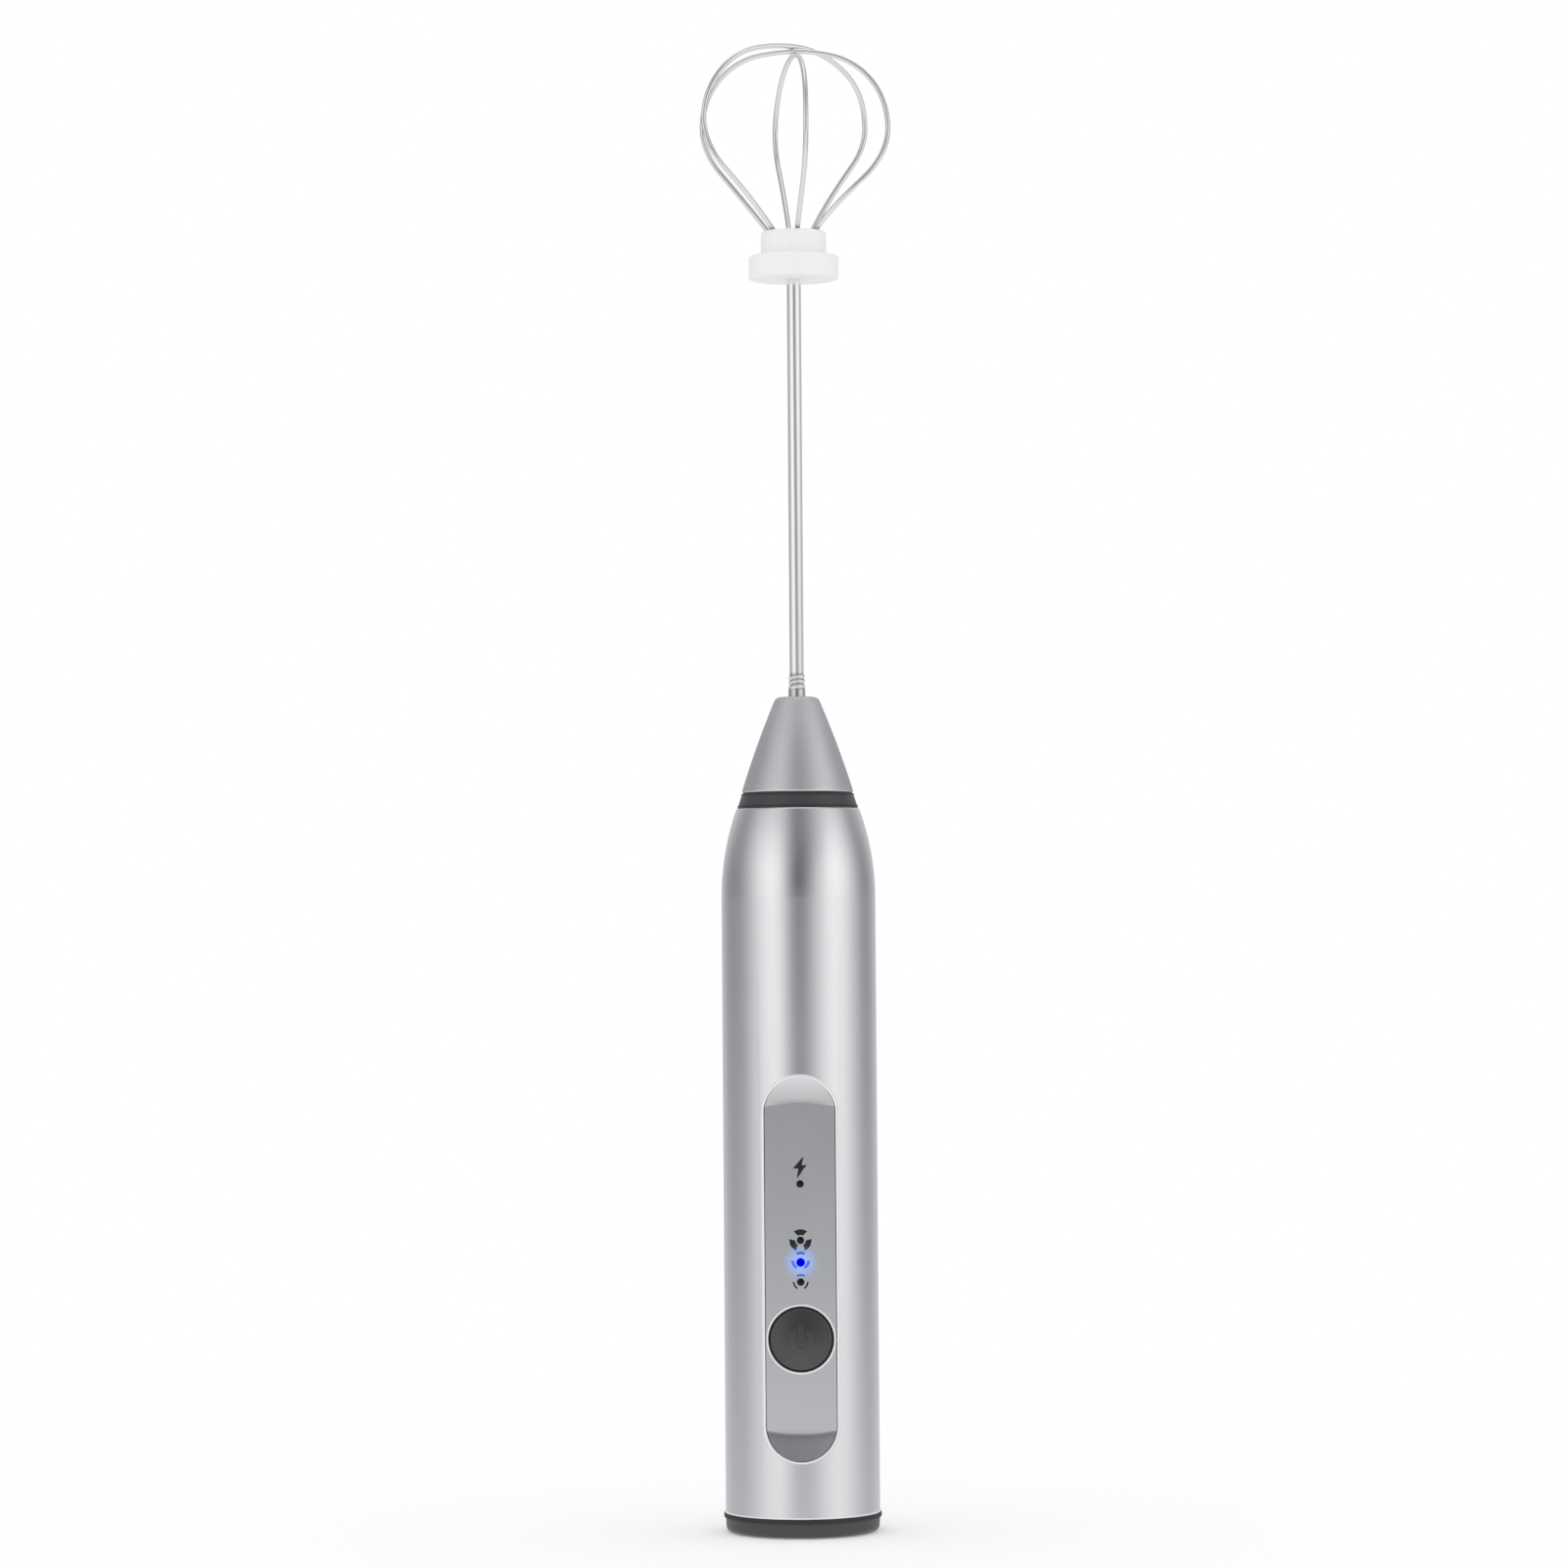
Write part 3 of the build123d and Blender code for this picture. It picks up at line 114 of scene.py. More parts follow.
def add_piece(name, grids, body, slot, stands_for=(), round_columns=True, round_rows=False):
    """One closed mesh from (rows, columns, 3) arrays of points in metres, riding on a body."""
    points, quads, uvs, start = [], [], [], 0
    for grid in grids:
        rows, columns = grid.shape[:2]
        index = start + np.arange(rows * columns).reshape(rows, columns)
        quads.append(grid_corners(index, round_columns, round_rows).reshape(-1, 4))
        down = np.linspace(0, 1, rows + round_rows)
        across = np.linspace(0, 1, columns + round_columns)
        chart = np.stack(np.meshgrid(across, down), axis=-1)
        uvs.append(grid_corners(chart, False, False).reshape(-1))
        points.append(grid.reshape(-1, 3))
        start += rows * columns
    mesh = bpy.data.meshes.new(name)
    mesh.from_pydata(np.concatenate(points).tolist(), [], np.concatenate(quads).tolist())
    mesh.uv_layers.new(name="grid").data.foreach_set("uv", np.concatenate(uvs).astype(np.float32))
    shell = bmesh.new()
    shell.from_mesh(mesh)
    bmesh.ops.remove_doubles(shell, verts=shell.verts, dist=MERGE)
    bmesh.ops.recalc_face_normals(shell, faces=shell.faces)
    shell.to_mesh(mesh)
    shell.free()
    mesh.shade_smooth()
    mesh.set_sharp_from_angle(angle=SMOOTH_BELOW)
    piece = bpy.data.objects.new(name, mesh)
    scene.collection.objects.link(piece)
    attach(piece, body)
    piece_slots[piece.name] = slot
    if stands_for:
        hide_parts(*stands_for)
    print(f"{name}: {len(mesh.polygons)} faces")
    return piece


# %% [markdown]
# ## Turned shapes
# The hub, the cap, the lights and the button are round, as if turned on a lathe. A tool follows a
# profile, so the profile comes first: a few corners, each with the radius that takes its edge off.
# Real edges are never perfectly sharp, and these small arcs are what catches the light. A bevel
# modifier could round them too, but the profile gives each edge its own radius.

# %% Profile and revolve
ARC_STEPS = 6
EDGE_SUPPORT = 0.15


def rounded_profile(corners):
    """Points along (x, y, radius) corners, each corner cut by a tangent arc.

    The arc's centre lies on the corner's bisector at radius / sin(half angle), and its ends lie
    radius / tan(half angle) away from the corner. A point a little before and after each arc keeps
    the flat stretches flat when the normals are smoothed.
    """
    spots = np.array([corner[:2] for corner in corners], float)
    radii = [corner[2] for corner in corners]
    runs = [spots[:1]]
    for before, here, after, radius in zip(spots[:-2], spots[1:-1], spots[2:], radii[1:-1]):
        back, ahead = (before - here), (after - here)
        room = EDGE_SUPPORT * min(np.linalg.norm(back), np.linalg.norm(ahead), 1.0)
        back, ahead = back / np.linalg.norm(back), ahead / np.linalg.norm(ahead)
        half = math.acos(np.clip(back @ ahead, -1, 1)) / 2
        middle = (back + ahead) / np.linalg.norm(back + ahead)
        centre = here + middle * radius / math.sin(half)
        reach = radius / math.tan(half)
        first, last = here + back * reach, here + ahead * reach
        turn = math.pi - 2 * half
        share = np.linspace(0, 1, ARC_STEPS + 1)[:, None]
        arc = np.sin((1 - share) * turn) * (first - centre) + np.sin(share * turn) * (last - centre)
        runs += [first[None] + back * room, centre + arc / math.sin(turn), last[None] + ahead * room]
    return np.concatenate(runs + [spots[-1:]])


def revolve(profile, columns):
    """A profile of (radius, height) turned about Z: x = r cos a, y = r sin a, z = height."""
    angle = np.linspace(0, 2 * math.pi, columns, endpoint=False) + math.pi / 2
    radius, height = profile[:, :1], profile[:, 1:]
    return np.stack([radius * np.cos(angle), radius * np.sin(angle), height + 0 * angle], axis=-1)


def facing_front(grid, x, y, z):
    """A shape made along +Z, laid so that its top faces -Y and its origin lies at (x, y, z)."""
    return np.stack([grid[..., 0] + x, y - grid[..., 2], grid[..., 1] + z], axis=-1)


def smooth_step(low, high, value):
    """0 below low, 1 above high, and 3t^2 - 2t^3 between them."""
    share = np.clip((value - low) / (high - low), 0, 1)
    return share * share * (3 - 2 * share)


# %% [markdown]
# ## The whisk's hub
# A stepped plug of milky plastic holds the stem from below and the six wire ends from above. It is
# moulded, so its edges are soft and there is a small fillet where the step meets the collar. The
# frame's node has the same size, and the box of that node gives the heights.

# %% Hub
HUB_STEP = 4.1
COLLAR_RADIUS = 5.75
STEM_RADIUS = 1.25
STEM_IN_HUB = 5.0
HUB_EDGE = 0.4
HUB_FILLET = 0.3
BORE_EDGE, BORE_END_EDGE = 0.15, 0.1
HUB_SIDES = 96

hub_low, hub_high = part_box("whisk_hub")
hub_bottom, hub_top = hub_low.z / MM, hub_high.z / MM
flange_radius = hub_high.x / MM
hub_profile = rounded_profile([
    (0, hub_bottom + STEM_IN_HUB, 0),
    (STEM_RADIUS, hub_bottom + STEM_IN_HUB, BORE_END_EDGE),
    (STEM_RADIUS, hub_bottom, BORE_EDGE),
    (flange_radius, hub_bottom, HUB_EDGE),
    (flange_radius, hub_bottom + HUB_STEP, HUB_EDGE),
    (COLLAR_RADIUS, hub_bottom + HUB_STEP, HUB_FILLET),
    (COLLAR_RADIUS, hub_top, HUB_EDGE),
    (0, hub_top, 0),
])
add_piece("hub_moulding", [revolve(hub_profile, HUB_SIDES) * MM], "whisk", "white_plastic", ["whisk_hub"])

# %% [markdown]
# ## The stem and its grip thread
# The stem is a steel rod. Its lower end is thicker, has a fine rolled thread for grip, and a flat
# that the drive socket turns. A thread can be cut with a screw modifier, but it is also just a
# radius that depends on both height and angle, which a grid holds directly.

# %% Stem
THREAD_PITCH = 0.85
THREAD_DEPTH = 0.22
THREAD_LENGTH = 2.8
PLUG_SHOWN = 4.0
FLAT_LENGTH = 4.0
FLAT_DEPTH = 0.4
FLAT_STEP = 0.02
PLUG_CHAMFER = 0.25

stem_low, stem_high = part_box("whisk_stem")
plug_radius = stem_high.y / MM
plug_bottom, stem_top = stem_low.z / MM, stem_high.z / MM
plug_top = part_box("nose_cone")[1].z / MM + PLUG_SHOWN
thread_start = plug_top - THREAD_LENGTH


def threaded_rod(columns=48, rows_per_turn=12):
    """Rod along Z: r = rod radius - depth * (1 - cos(2 pi (z / pitch - a / 2 pi))) / 2 on the thread."""
    thread_rows = int(rows_per_turn * THREAD_LENGTH / THREAD_PITCH)
    thread_z = np.linspace(thread_start, plug_top - PLUG_CHAMFER, thread_rows)
    plain = np.array([
        (0, plug_bottom),
        (plug_radius - PLUG_CHAMFER, plug_bottom),
        (plug_radius, plug_bottom + PLUG_CHAMFER),
        (plug_radius, plug_bottom + FLAT_LENGTH),
        (plug_radius, plug_bottom + FLAT_LENGTH + FLAT_STEP),
    ])
    shank = np.array([(STEM_RADIUS, plug_top), (STEM_RADIUS, stem_top), (0, stem_top)])
    threaded = np.stack([np.full(thread_rows, plug_radius), thread_z], axis=1)
    grid = revolve(np.concatenate([plain, threaded, shank]), columns)
    angle = np.arctan2(grid[..., 1], grid[..., 0])
    height = grid[..., 2]
    cut = smooth_step(thread_start, thread_start + THREAD_PITCH, height) * (height <= plug_top - PLUG_CHAMFER)
    cut = cut * THREAD_DEPTH * (1 - np.cos(2 * math.pi * height / THREAD_PITCH - angle)) / 2
    grid[..., :2] *= (1 - cut / plug_radius)[..., None]
    on_flat = height < plug_bottom + FLAT_LENGTH + FLAT_STEP / 2
    grid[..., 0] = np.where(on_flat, np.minimum(grid[..., 0], plug_radius - FLAT_DEPTH), grid[..., 0])
    return grid


stem = add_piece("stem_rod", [threaded_rod() * MM], "whisk", "bright_steel", ["whisk_stem"])

# %% [markdown]
# ## The wire loops
# Three steel wires form the balloon. Each leaves the hub on a straight leg, swells through a side
# arc and closes over a flatter crown arc, and the crowns cross one above the other on the axis.
# The wires are bent by hand, so a leg does not stay in one upright plane: it leaves its hole at
# one angle, and leans to another at the belly. A curve object with a bevel could follow the same
# line. Here the line is an array, and a circle is carried along it.

# %% Wire loops
WIRE_RADIUS = 0.45
WIRE_IN_HUB = 2.2
EXIT_RADIUS = 4.55
WIRE_STEP = 0.92
WIRE_SIDES = 20
LEG_POINTS, SIDE_POINTS, CROWN_POINTS = 24, 48, 40

crown_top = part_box("whisk_loop_1")[1].z / MM


def half_loop(top, belly_radius, side_radius, crown_radius):
    """Radius and height from the foot in the hub to the crown: a leg, the side arc, the crown arc.

    The side arc's centre is side_x from the axis. The crown arc touches it from outside, so its
    centre on the axis is sqrt((crown - side)^2 - side_x^2) lower. The leg is the tangent from the
    exit hole to the side arc.
    """
    side_x = belly_radius - side_radius
    drop = math.sqrt((crown_radius - side_radius) ** 2 - side_x**2)
    belly = top - crown_radius + drop
    run, rise = side_x - EXIT_RADIUS, belly - hub_top
    leg_angle = math.atan2(rise, run) - math.asin(side_radius / math.hypot(run, rise))
    leg_length = math.sqrt(run**2 + rise**2 - side_radius**2)
    turn = math.atan2(drop, side_x)
    along = np.linspace(-WIRE_IN_HUB, leg_length, LEG_POINTS, endpoint=False)
    side = np.linspace(leg_angle - math.pi / 2, turn, SIDE_POINTS, endpoint=False)
    crown = np.linspace(turn, math.pi / 2, CROWN_POINTS)
    radius = np.concatenate([
        EXIT_RADIUS + along * math.cos(leg_angle),
        side_x + side_radius * np.cos(side),
        crown_radius * np.cos(crown),
    ])
    height = np.concatenate([
        hub_top + along * math.sin(leg_angle),
        belly + side_radius * np.sin(side),
        belly - drop + crown_radius * np.sin(crown),
    ])
    return radius, height, belly


def bent_leg(top, crown_turn, leaves, belly_turn, *radii):
    """Half of a wire: its angle about the axis eases from the hole's to the belly's to the crown's."""
    radius, height, belly = half_loop(top, *radii)
    angle = leaves + (belly_turn - leaves) * smooth_step(hub_top, belly, height)
    angle = np.radians(angle + (crown_turn - belly_turn) * smooth_step(belly, top, height))
    return np.stack([radius * np.cos(angle), radius * np.sin(angle), height], axis=1)


def tube(line, turn, radius, sides):
    """A circle carried along a line: p + r (cos a n + sin a b), with both ends closed to a point.

    t is the line's direction, b the level direction across the loop with its part along t taken
    out, and n = b x t.
    """
    tangent = np.gradient(line, axis=0)
    tangent /= np.linalg.norm(tangent, axis=1, keepdims=True)
    across = np.array([-math.sin(turn), math.cos(turn), 0.0])
    across = across - (tangent @ across)[:, None] * tangent
    across /= np.linalg.norm(across, axis=1, keepdims=True)
    normal = np.cross(across, tangent)
    angle = np.linspace(0, 2 * math.pi, sides, endpoint=False)[None, :, None]
    skin = line[:, None] + radius * (np.cos(angle) * normal[:, None] + np.sin(angle) * across[:, None])
    ends = np.repeat(line[[0, -1], None], sides, axis=1)
    return np.concatenate([ends[:1], skin, ends[1:]])


# %% Bend the three wires
# Each leg: angle at the hole, angle at the belly, belly radius, side arc radius, crown arc radius
LOOPS = {
    "wire_loop_upper": ("whisk_loop_1", (48.6, 36, 15.8, 11.6, 18.0), (39.6, 28, 17.5, 13.2, 34.0)),
    "wire_loop_middle": ("whisk_loop_2", (-32.4, -9.4, 17.0, 13.4, 28.0), (-21.4, -9.4, 16.2, 12.6, 34.0)),
    "wire_loop_lower": ("whisk_loop_3", (99, 101.4, 16.6, 10.0, 26.0), (99, 98.8, 16.0, 13.4, 22.0)),
}
for order, (name, (node, right, left)) in enumerate(LOOPS.items()):
    top = crown_top - order * WIRE_STEP
    crown_turn = (right[1] + left[1]) / 2
    up = bent_leg(top, crown_turn, *right)
    down = bent_leg(top, crown_turn, *left) * (-1, -1, 1)
    line = np.concatenate([up, down[-2::-1]])
    skin = tube(line, math.radians(crown_turn), WIRE_RADIUS, WIRE_SIDES)
    add_piece(name, [skin * MM], "whisk", "bright_steel", [node])

# %% [markdown]
# ## The power button
# A round cap with a low dome fills the hole in the panel. A power sign is moulded into its face,
# only a few hundredths of a millimetre high, so it shows as a faint change of light. That relief is
# real geometry: the height of the face is a function of radius and angle, and the sign is added
# to it. Below the face the cap has a skirt and a lip that keeps it behind the panel. It is hollow,
# with a boss in the middle that presses the switch.

# %% Button
BUTTON_RADIUS = 5.36
BUTTON_EDGE = 0.5
BUTTON_DOME = 0.7
SKIRT_LENGTH = 2.3
LIP_THICKNESS = 0.7
LIP_EDGE = 0.15
BUTTON_WALL = 0.9
BUTTON_FILLET = 0.1
EDGE_DROP, EDGE_SHARE = 0.08, 0.8
BOSS_RADIUS = 1.5
SIGN_ROWS, DOME_ROWS = 76, 10
SIGN_RADIUS = 1.65
SIGN_STROKE = 0.42
SIGN_HEIGHT = 0.06
SIGN_SOFT = 0.12
SIGN_GAP = math.radians(34)
SIGN_BAR = (0.35, 2.35)

button_low, button_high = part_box("power_button")
lip_radius = button_high.x / MM
button_crown = button_low.y / MM
button_z = (button_low.z + button_high.z) / 2 / MM
boss_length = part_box("switch_plunger")[0].y / MM - button_crown - SIGN_HEIGHT


def power_sign(radius, angle):
    """1 on the sign and 0 off it: a ring open at the top, and an upright bar in the gap."""
    from_top = np.abs((angle - math.pi / 2 + math.pi) % (2 * math.pi) - math.pi)
    half = SIGN_STROKE / 2
    ring = 1 - smooth_step(half - SIGN_SOFT / 2, half + SIGN_SOFT / 2, np.abs(radius - SIGN_RADIUS))
    ring = ring * smooth_step(SIGN_GAP, SIGN_GAP + SIGN_SOFT / SIGN_RADIUS, from_top)
    x, y = radius * np.cos(angle), radius * np.sin(angle)
    bar = 1 - smooth_step(half - SIGN_SOFT / 2, half + SIGN_SOFT / 2, np.abs(x))
    bar = bar * smooth_step(SIGN_BAR[0], SIGN_BAR[0] + SIGN_SOFT, y)
    bar = bar * (1 - smooth_step(SIGN_BAR[1] - SIGN_SOFT, SIGN_BAR[1], y))
    return np.maximum(ring, bar)


def button_cap(columns=256):
    """Dome z = -d (r / R)^2 plus the sign, then the rounded edge, skirt, lip, hollow and boss."""
    fine = np.linspace(0, SIGN_BAR[1] + SIGN_SOFT, SIGN_ROWS)
    coarse = np.linspace(fine[-1], BUTTON_RADIUS - BUTTON_EDGE, DOME_ROWS)[1:]
    face_radius = np.concatenate([fine, coarse])
    face = np.stack([face_radius, -BUTTON_DOME * (face_radius / BUTTON_RADIUS) ** 2], axis=1)
    edge_z = face[-1, 1]
    back_z = -SKIRT_LENGTH - LIP_THICKNESS
    wall = rounded_profile([
        (face[-2, 0], face[-2, 1], 0),
        (BUTTON_RADIUS, edge_z - EDGE_DROP, BUTTON_EDGE * EDGE_SHARE),
        (BUTTON_RADIUS, -SKIRT_LENGTH, BUTTON_FILLET),
        (lip_radius, -SKIRT_LENGTH, LIP_EDGE),
        (lip_radius, back_z, LIP_EDGE),
        (BUTTON_RADIUS - BUTTON_WALL, back_z, 0),
        (BUTTON_RADIUS - BUTTON_WALL, edge_z - BUTTON_WALL, BUTTON_FILLET),
        (BOSS_RADIUS, edge_z - BUTTON_WALL, BUTTON_FILLET),
        (BOSS_RADIUS, -boss_length, BUTTON_FILLET),
        (0, -boss_length, 0),
    ])
    grid = revolve(np.concatenate([face[:-1], wall[1:]]), columns)
    radius = np.hypot(grid[..., 0], grid[..., 1])
    angle = np.arctan2(grid[..., 1], grid[..., 0])
    on_face = grid[..., 2] > edge_z
    grid[..., 2] += SIGN_HEIGHT * power_sign(radius, angle) * on_face
    return grid


button_grid = facing_front(button_cap(), 0, button_crown + SIGN_HEIGHT, button_z)
button = add_piece("button_cap", [button_grid * MM], "button", "black_plastic", ["power_button"])

# %% [markdown]
# ## The foot cap
# The black cap plugs into the tube from below. Its wall is nearly straight, its lower edge is well
# rounded for the table, and a long round hole in its floor lets the charging plug in. It could be a
# turned disc with the hole cut out by a boolean. Here each row of the grid is a closed line round the
# cap: the first and the last row are the outline of the hole, and every other row is a circle.

# %% Foot cap
CAP_BOTTOM_RADIUS, CAP_TOP_RADIUS = 13.33, 13.53
CAP_LIFT, CAP_FLOOR = 2.62, 2.2
CAP_EDGE, CAP_RIM_EDGE = 1.0, 0.05
SPIGOT_RADIUS, SPIGOT_WALL, SPIGOT_EDGE = 12.1, 1.4, 0.2
HOLE_SPACE = 0.15

socket_low, socket_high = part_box("charge_socket")
spigot_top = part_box("base_cap")[1].z / MM


def foot_cap(columns=128):
    """The cap's section turned about Z, with its two ends drawn out to the hole.

    The hole is two half circles with their centres l apart: x = l sign(cos a) / 2 + r cos a and
    y = r sin a.
    """
    inner = SPIGOT_RADIUS - SPIGOT_WALL
    section = rounded_profile([
        (0, 0, 0),
        (CAP_BOTTOM_RADIUS, 0, CAP_EDGE),
        (CAP_TOP_RADIUS, CAP_LIFT, CAP_RIM_EDGE),
        (SPIGOT_RADIUS, CAP_LIFT, CAP_RIM_EDGE),
        (SPIGOT_RADIUS, spigot_top, SPIGOT_EDGE),
        (inner, spigot_top, SPIGOT_EDGE),
        (inner, CAP_FLOOR, SPIGOT_EDGE),
        (0, CAP_FLOOR, 0),
    ])
    grid = revolve(section, columns)
    angle = np.arctan2(grid[1, :, 1], grid[1, :, 0])
    radius = (socket_high.y - socket_low.y) / 2 / MM + HOLE_SPACE
    half_gap = (socket_high.x - socket_low.x) / 2 / MM + HOLE_SPACE - radius
    grid[[0, -1], :, 0] = half_gap * np.sign(np.cos(angle)) + radius * np.cos(angle)
    grid[[0, -1], :, 1] = (socket_low.y + socket_high.y) / 2 / MM + radius * np.sin(angle)
    return grid


cap = add_piece("foot_cap", [foot_cap() * MM], "handle", "black_plastic", ["base_cap"], round_rows=True)

# %% [markdown]
# ## Bright edges
# The tube's foot, its window and the hole for the button have a bright-cut edge: a narrow round bead
# that closes the gap beside it. The bead is real; its near-white finish, only partly metal, adds a
# painted highlight that stays bright from every side. At the foot and round the button it is a ring.
# For the window it is a circle carried along a long loop with round ends, which lies on the wall of
# the tube, so its depth follows from x: y = -sqrt(R^2 - x^2).

# %% Foot, window and button edges
BEAD_RADIUS = 0.19
BEAD_LEAST = 0.12
BEAD_SINK = 0.12
BEAD_OUT, BEAD_OUT_TOP = 0.31, 0.10
RING_BEAD = 0.17
RING_RADIUS = 5.86
WALL_RADIUS = 13.5
FOOT_BEAD, FOOT_INSET, FOOT_RISE = 0.20, 0.05, 0.26
RING_POINTS = 192

panel_low, panel_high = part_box("control_panel")
panel_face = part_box("charge_lens")[0].y / MM
arc_foot = (panel_high.z - panel_high.x) / MM


def window_line(points=64):
    """Closed line: two half circles beside the panel's ends, joined by straight sides, on the wall.

    It lies BEAD_OUT outside the panel, and closes in to BEAD_OUT_TOP round the upper end.
    """
    half_width = panel_high.x / MM
    half_straight = (panel_high.z - panel_low.z) / 2 / MM - half_width
    middle = (panel_low.z + panel_high.z) / 2 / MM
    angle = np.linspace(0, math.pi, points)
    straight = np.linspace(half_straight, -half_straight, points)[1:-1]
    upper = half_width + BEAD_OUT - (BEAD_OUT - BEAD_OUT_TOP) * smooth_step(0, 1, np.sin(angle))
    lower = half_width + BEAD_OUT
    side = np.full(points - 2, lower)
    x = np.concatenate([upper * np.cos(angle), -side, -lower * np.cos(angle), side])
    z = np.concatenate([half_straight + upper * np.sin(angle), straight,
                        -half_straight - lower * np.sin(angle), -straight])
    y = BEAD_SINK - np.sqrt(WALL_RADIUS**2 - x**2)
    return np.stack([x, y, middle + z], axis=1)


def closed_tube(line, radius, sides=16):
    """A circle carried round a closed line: p + r (cos a n + sin a b), with n away from its middle."""
    tangent = np.roll(line, -1, axis=0) - np.roll(line, 1, axis=0)
    tangent /= np.linalg.norm(tangent, axis=1, keepdims=True)
    normal = line - line.mean(axis=0)
    normal -= (normal * tangent).sum(axis=1, keepdims=True) * tangent
    normal /= np.linalg.norm(normal, axis=1, keepdims=True)
    side = np.cross(tangent, normal)
    radius = np.broadcast_to(radius, len(line))[:, None, None]
    angle = np.linspace(0, 2 * math.pi, sides, endpoint=False)[None, :, None]
    return line[:, None] + radius * (np.cos(angle) * normal[:, None] + np.sin(angle) * side[:, None])


def add_bead(name, line, radius, slot):
    """A round bead along a closed line, riding on the handle."""
    return add_piece(name, [closed_tube(line, radius) * MM], "handle", slot, round_rows=True)


ring_angle = np.linspace(0, 2 * math.pi, RING_POINTS, endpoint=False)
flat_ring = np.stack([np.cos(ring_angle), np.sin(ring_angle), 0 * ring_angle], axis=1)
button_line = facing_front(RING_RADIUS * flat_ring, 0, panel_face, button_z)
foot_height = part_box("body_shell")[0].z / MM
foot_line = (WALL_RADIUS - FOOT_INSET) * flat_ring + (0, 0, foot_height + FOOT_RISE)
window = window_line()
bead = BEAD_RADIUS - (BEAD_RADIUS - BEAD_LEAST) * smooth_step(arc_foot, panel_high.z / MM, window[:, 2])
# Real beads; their near-white finish adds a painted highlight along each edge.
edges = [
    add_bead("window_edge", window, bead, "silver_shell"),
    add_bead("button_edge", button_line, RING_BEAD, "silver_shell"),
    add_bead("foot_edge", foot_line, FOOT_BEAD, "silver_shell"),
]

# %% [markdown]
# ## Dark rings in the gaps
# A black ring lies in the gap between the button and the panel. A wider one lies between the cap and
# the foot of the tube and stands out as a lip, and two thin ones lie above and below the trim ring.
# Their black is painted shade for the gaps they fill. From the front each shows as a dark line beside
# a bright edge.

# %% Dark rings of painted gap shade
BUTTON_GAP_SHADE_RADIUS, BUTTON_GAP_SHADE_BEAD, BUTTON_GAP_SHADE_SINK = 5.53, 0.13, 0.2
CAP_DARK_RING_RADIUS, CAP_DARK_RING_OVERLAP, CAP_DARK_RING_RISE = 13.79, 0.05, 0.16
CAP_DARK_RING_LOW_EDGE, CAP_DARK_RING_HIGH_EDGE = 0.1, 0.15
SEAM_BEAD, SEAM_RADIUS, SEAM_INSET, SEAM_DROP, SEAM_LIFT = 0.13, 9.8, 0.13, 0.22, 0.34
# Painted shade: a black ring for the shadow in the gap round the button.
button_gap_shade_line = facing_front(BUTTON_GAP_SHADE_RADIUS * flat_ring, 0, panel_face + BUTTON_GAP_SHADE_SINK, button_z)
add_bead("button_gasket", button_gap_shade_line, BUTTON_GAP_SHADE_BEAD, "seal_rubber")
# Painted shade: a black ring, standing out as a lip, for the shadow in the gap above the cap.
cap_ring_bottom, cap_ring_top = CAP_LIFT - CAP_DARK_RING_OVERLAP, foot_height + CAP_DARK_RING_RISE
cap_ring_section = rounded_profile([
    (SPIGOT_RADIUS, cap_ring_bottom, 0),
    (CAP_DARK_RING_RADIUS, cap_ring_bottom, CAP_DARK_RING_LOW_EDGE),
    (CAP_DARK_RING_RADIUS, cap_ring_top, CAP_DARK_RING_HIGH_EDGE),
    (SPIGOT_RADIUS, cap_ring_top, 0),
])
cap_ring_grid = revolve(cap_ring_section, RING_POINTS)
add_piece("cap_gasket", [cap_ring_grid * MM], "handle", "seal_rubber", round_rows=True)
ring_low, ring_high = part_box("trim_ring")
# Painted shade: two thin black rings for the shadows in the gaps at the trim ring.
nose_line = SEAM_RADIUS * flat_ring + (0, 0, ring_high.z / MM - SEAM_DROP)
neck_line = (ring_high.x / MM - SEAM_INSET) * flat_ring + (0, 0, ring_low.z / MM + SEAM_LIFT)
add_bead("nose_gasket", nose_line, SEAM_BEAD, "seal_rubber")
add_bead("neck_gasket", neck_line, SEAM_BEAD, "seal_rubber")

# %% [markdown]
# ## The lights
# Four light pipes come through the panel: one for charging and three for the speeds. Each is a
# clear pin whose end is polished to a small dome. Their nodes give the places and sizes, and one
# function makes every pin. The lit one is drawn a little wider, because its light spreads at the rim.

# %% Lights
LENS_DOME, LENS_EDGE = 0.16, 0.08
LENS_ROWS, LENS_SIDES = 10, 48
LIT_WIDER = 0.16


def light_pin(node, wider):
    """A round pin along -Y with a domed front: z = dome * (1 - (r / R)^2), closed at the back."""
    low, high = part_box(node)
    radius = (high.x - low.x) / 2 / MM + wider
    length = (high.y - low.y) / MM
    r = np.linspace(0, radius - LENS_EDGE, LENS_ROWS)
    face = np.stack([r, LENS_DOME * (1 - (r / radius) ** 2)], axis=1)
    side = np.array([(radius, 0.0), (radius, -length), (0, -length)])
    grid = revolve(np.concatenate([face, side]), LENS_SIDES)
    return facing_front(grid, (low.x + high.x) / 2 / MM, low.y / MM, (low.z + high.z) / 2 / MM) * MM


LIGHTS = {"charge_lens": ("dark_lens", 0.0), "speed_lens_high": ("dark_lens", 0.0),
          "speed_lens_medium": ("lit_lens", LIT_WIDER), "speed_lens_low": ("dark_lens", 0.0)}
for node, (slot, wider) in LIGHTS.items():
    add_piece(node.replace("lens", "light"), [light_pin(node, wider)], "handle", slot, [node])

# %% [markdown]
# ## The printed marks
# A lightning bolt marks the charge light, and three fans with thicker and thinner blades mark the
# speeds. On the real panel they are printed. A thin plate of ink, a few hundredths of a millimetre
# thick, stands for the print: it has a real edge, and no picture file is needed.

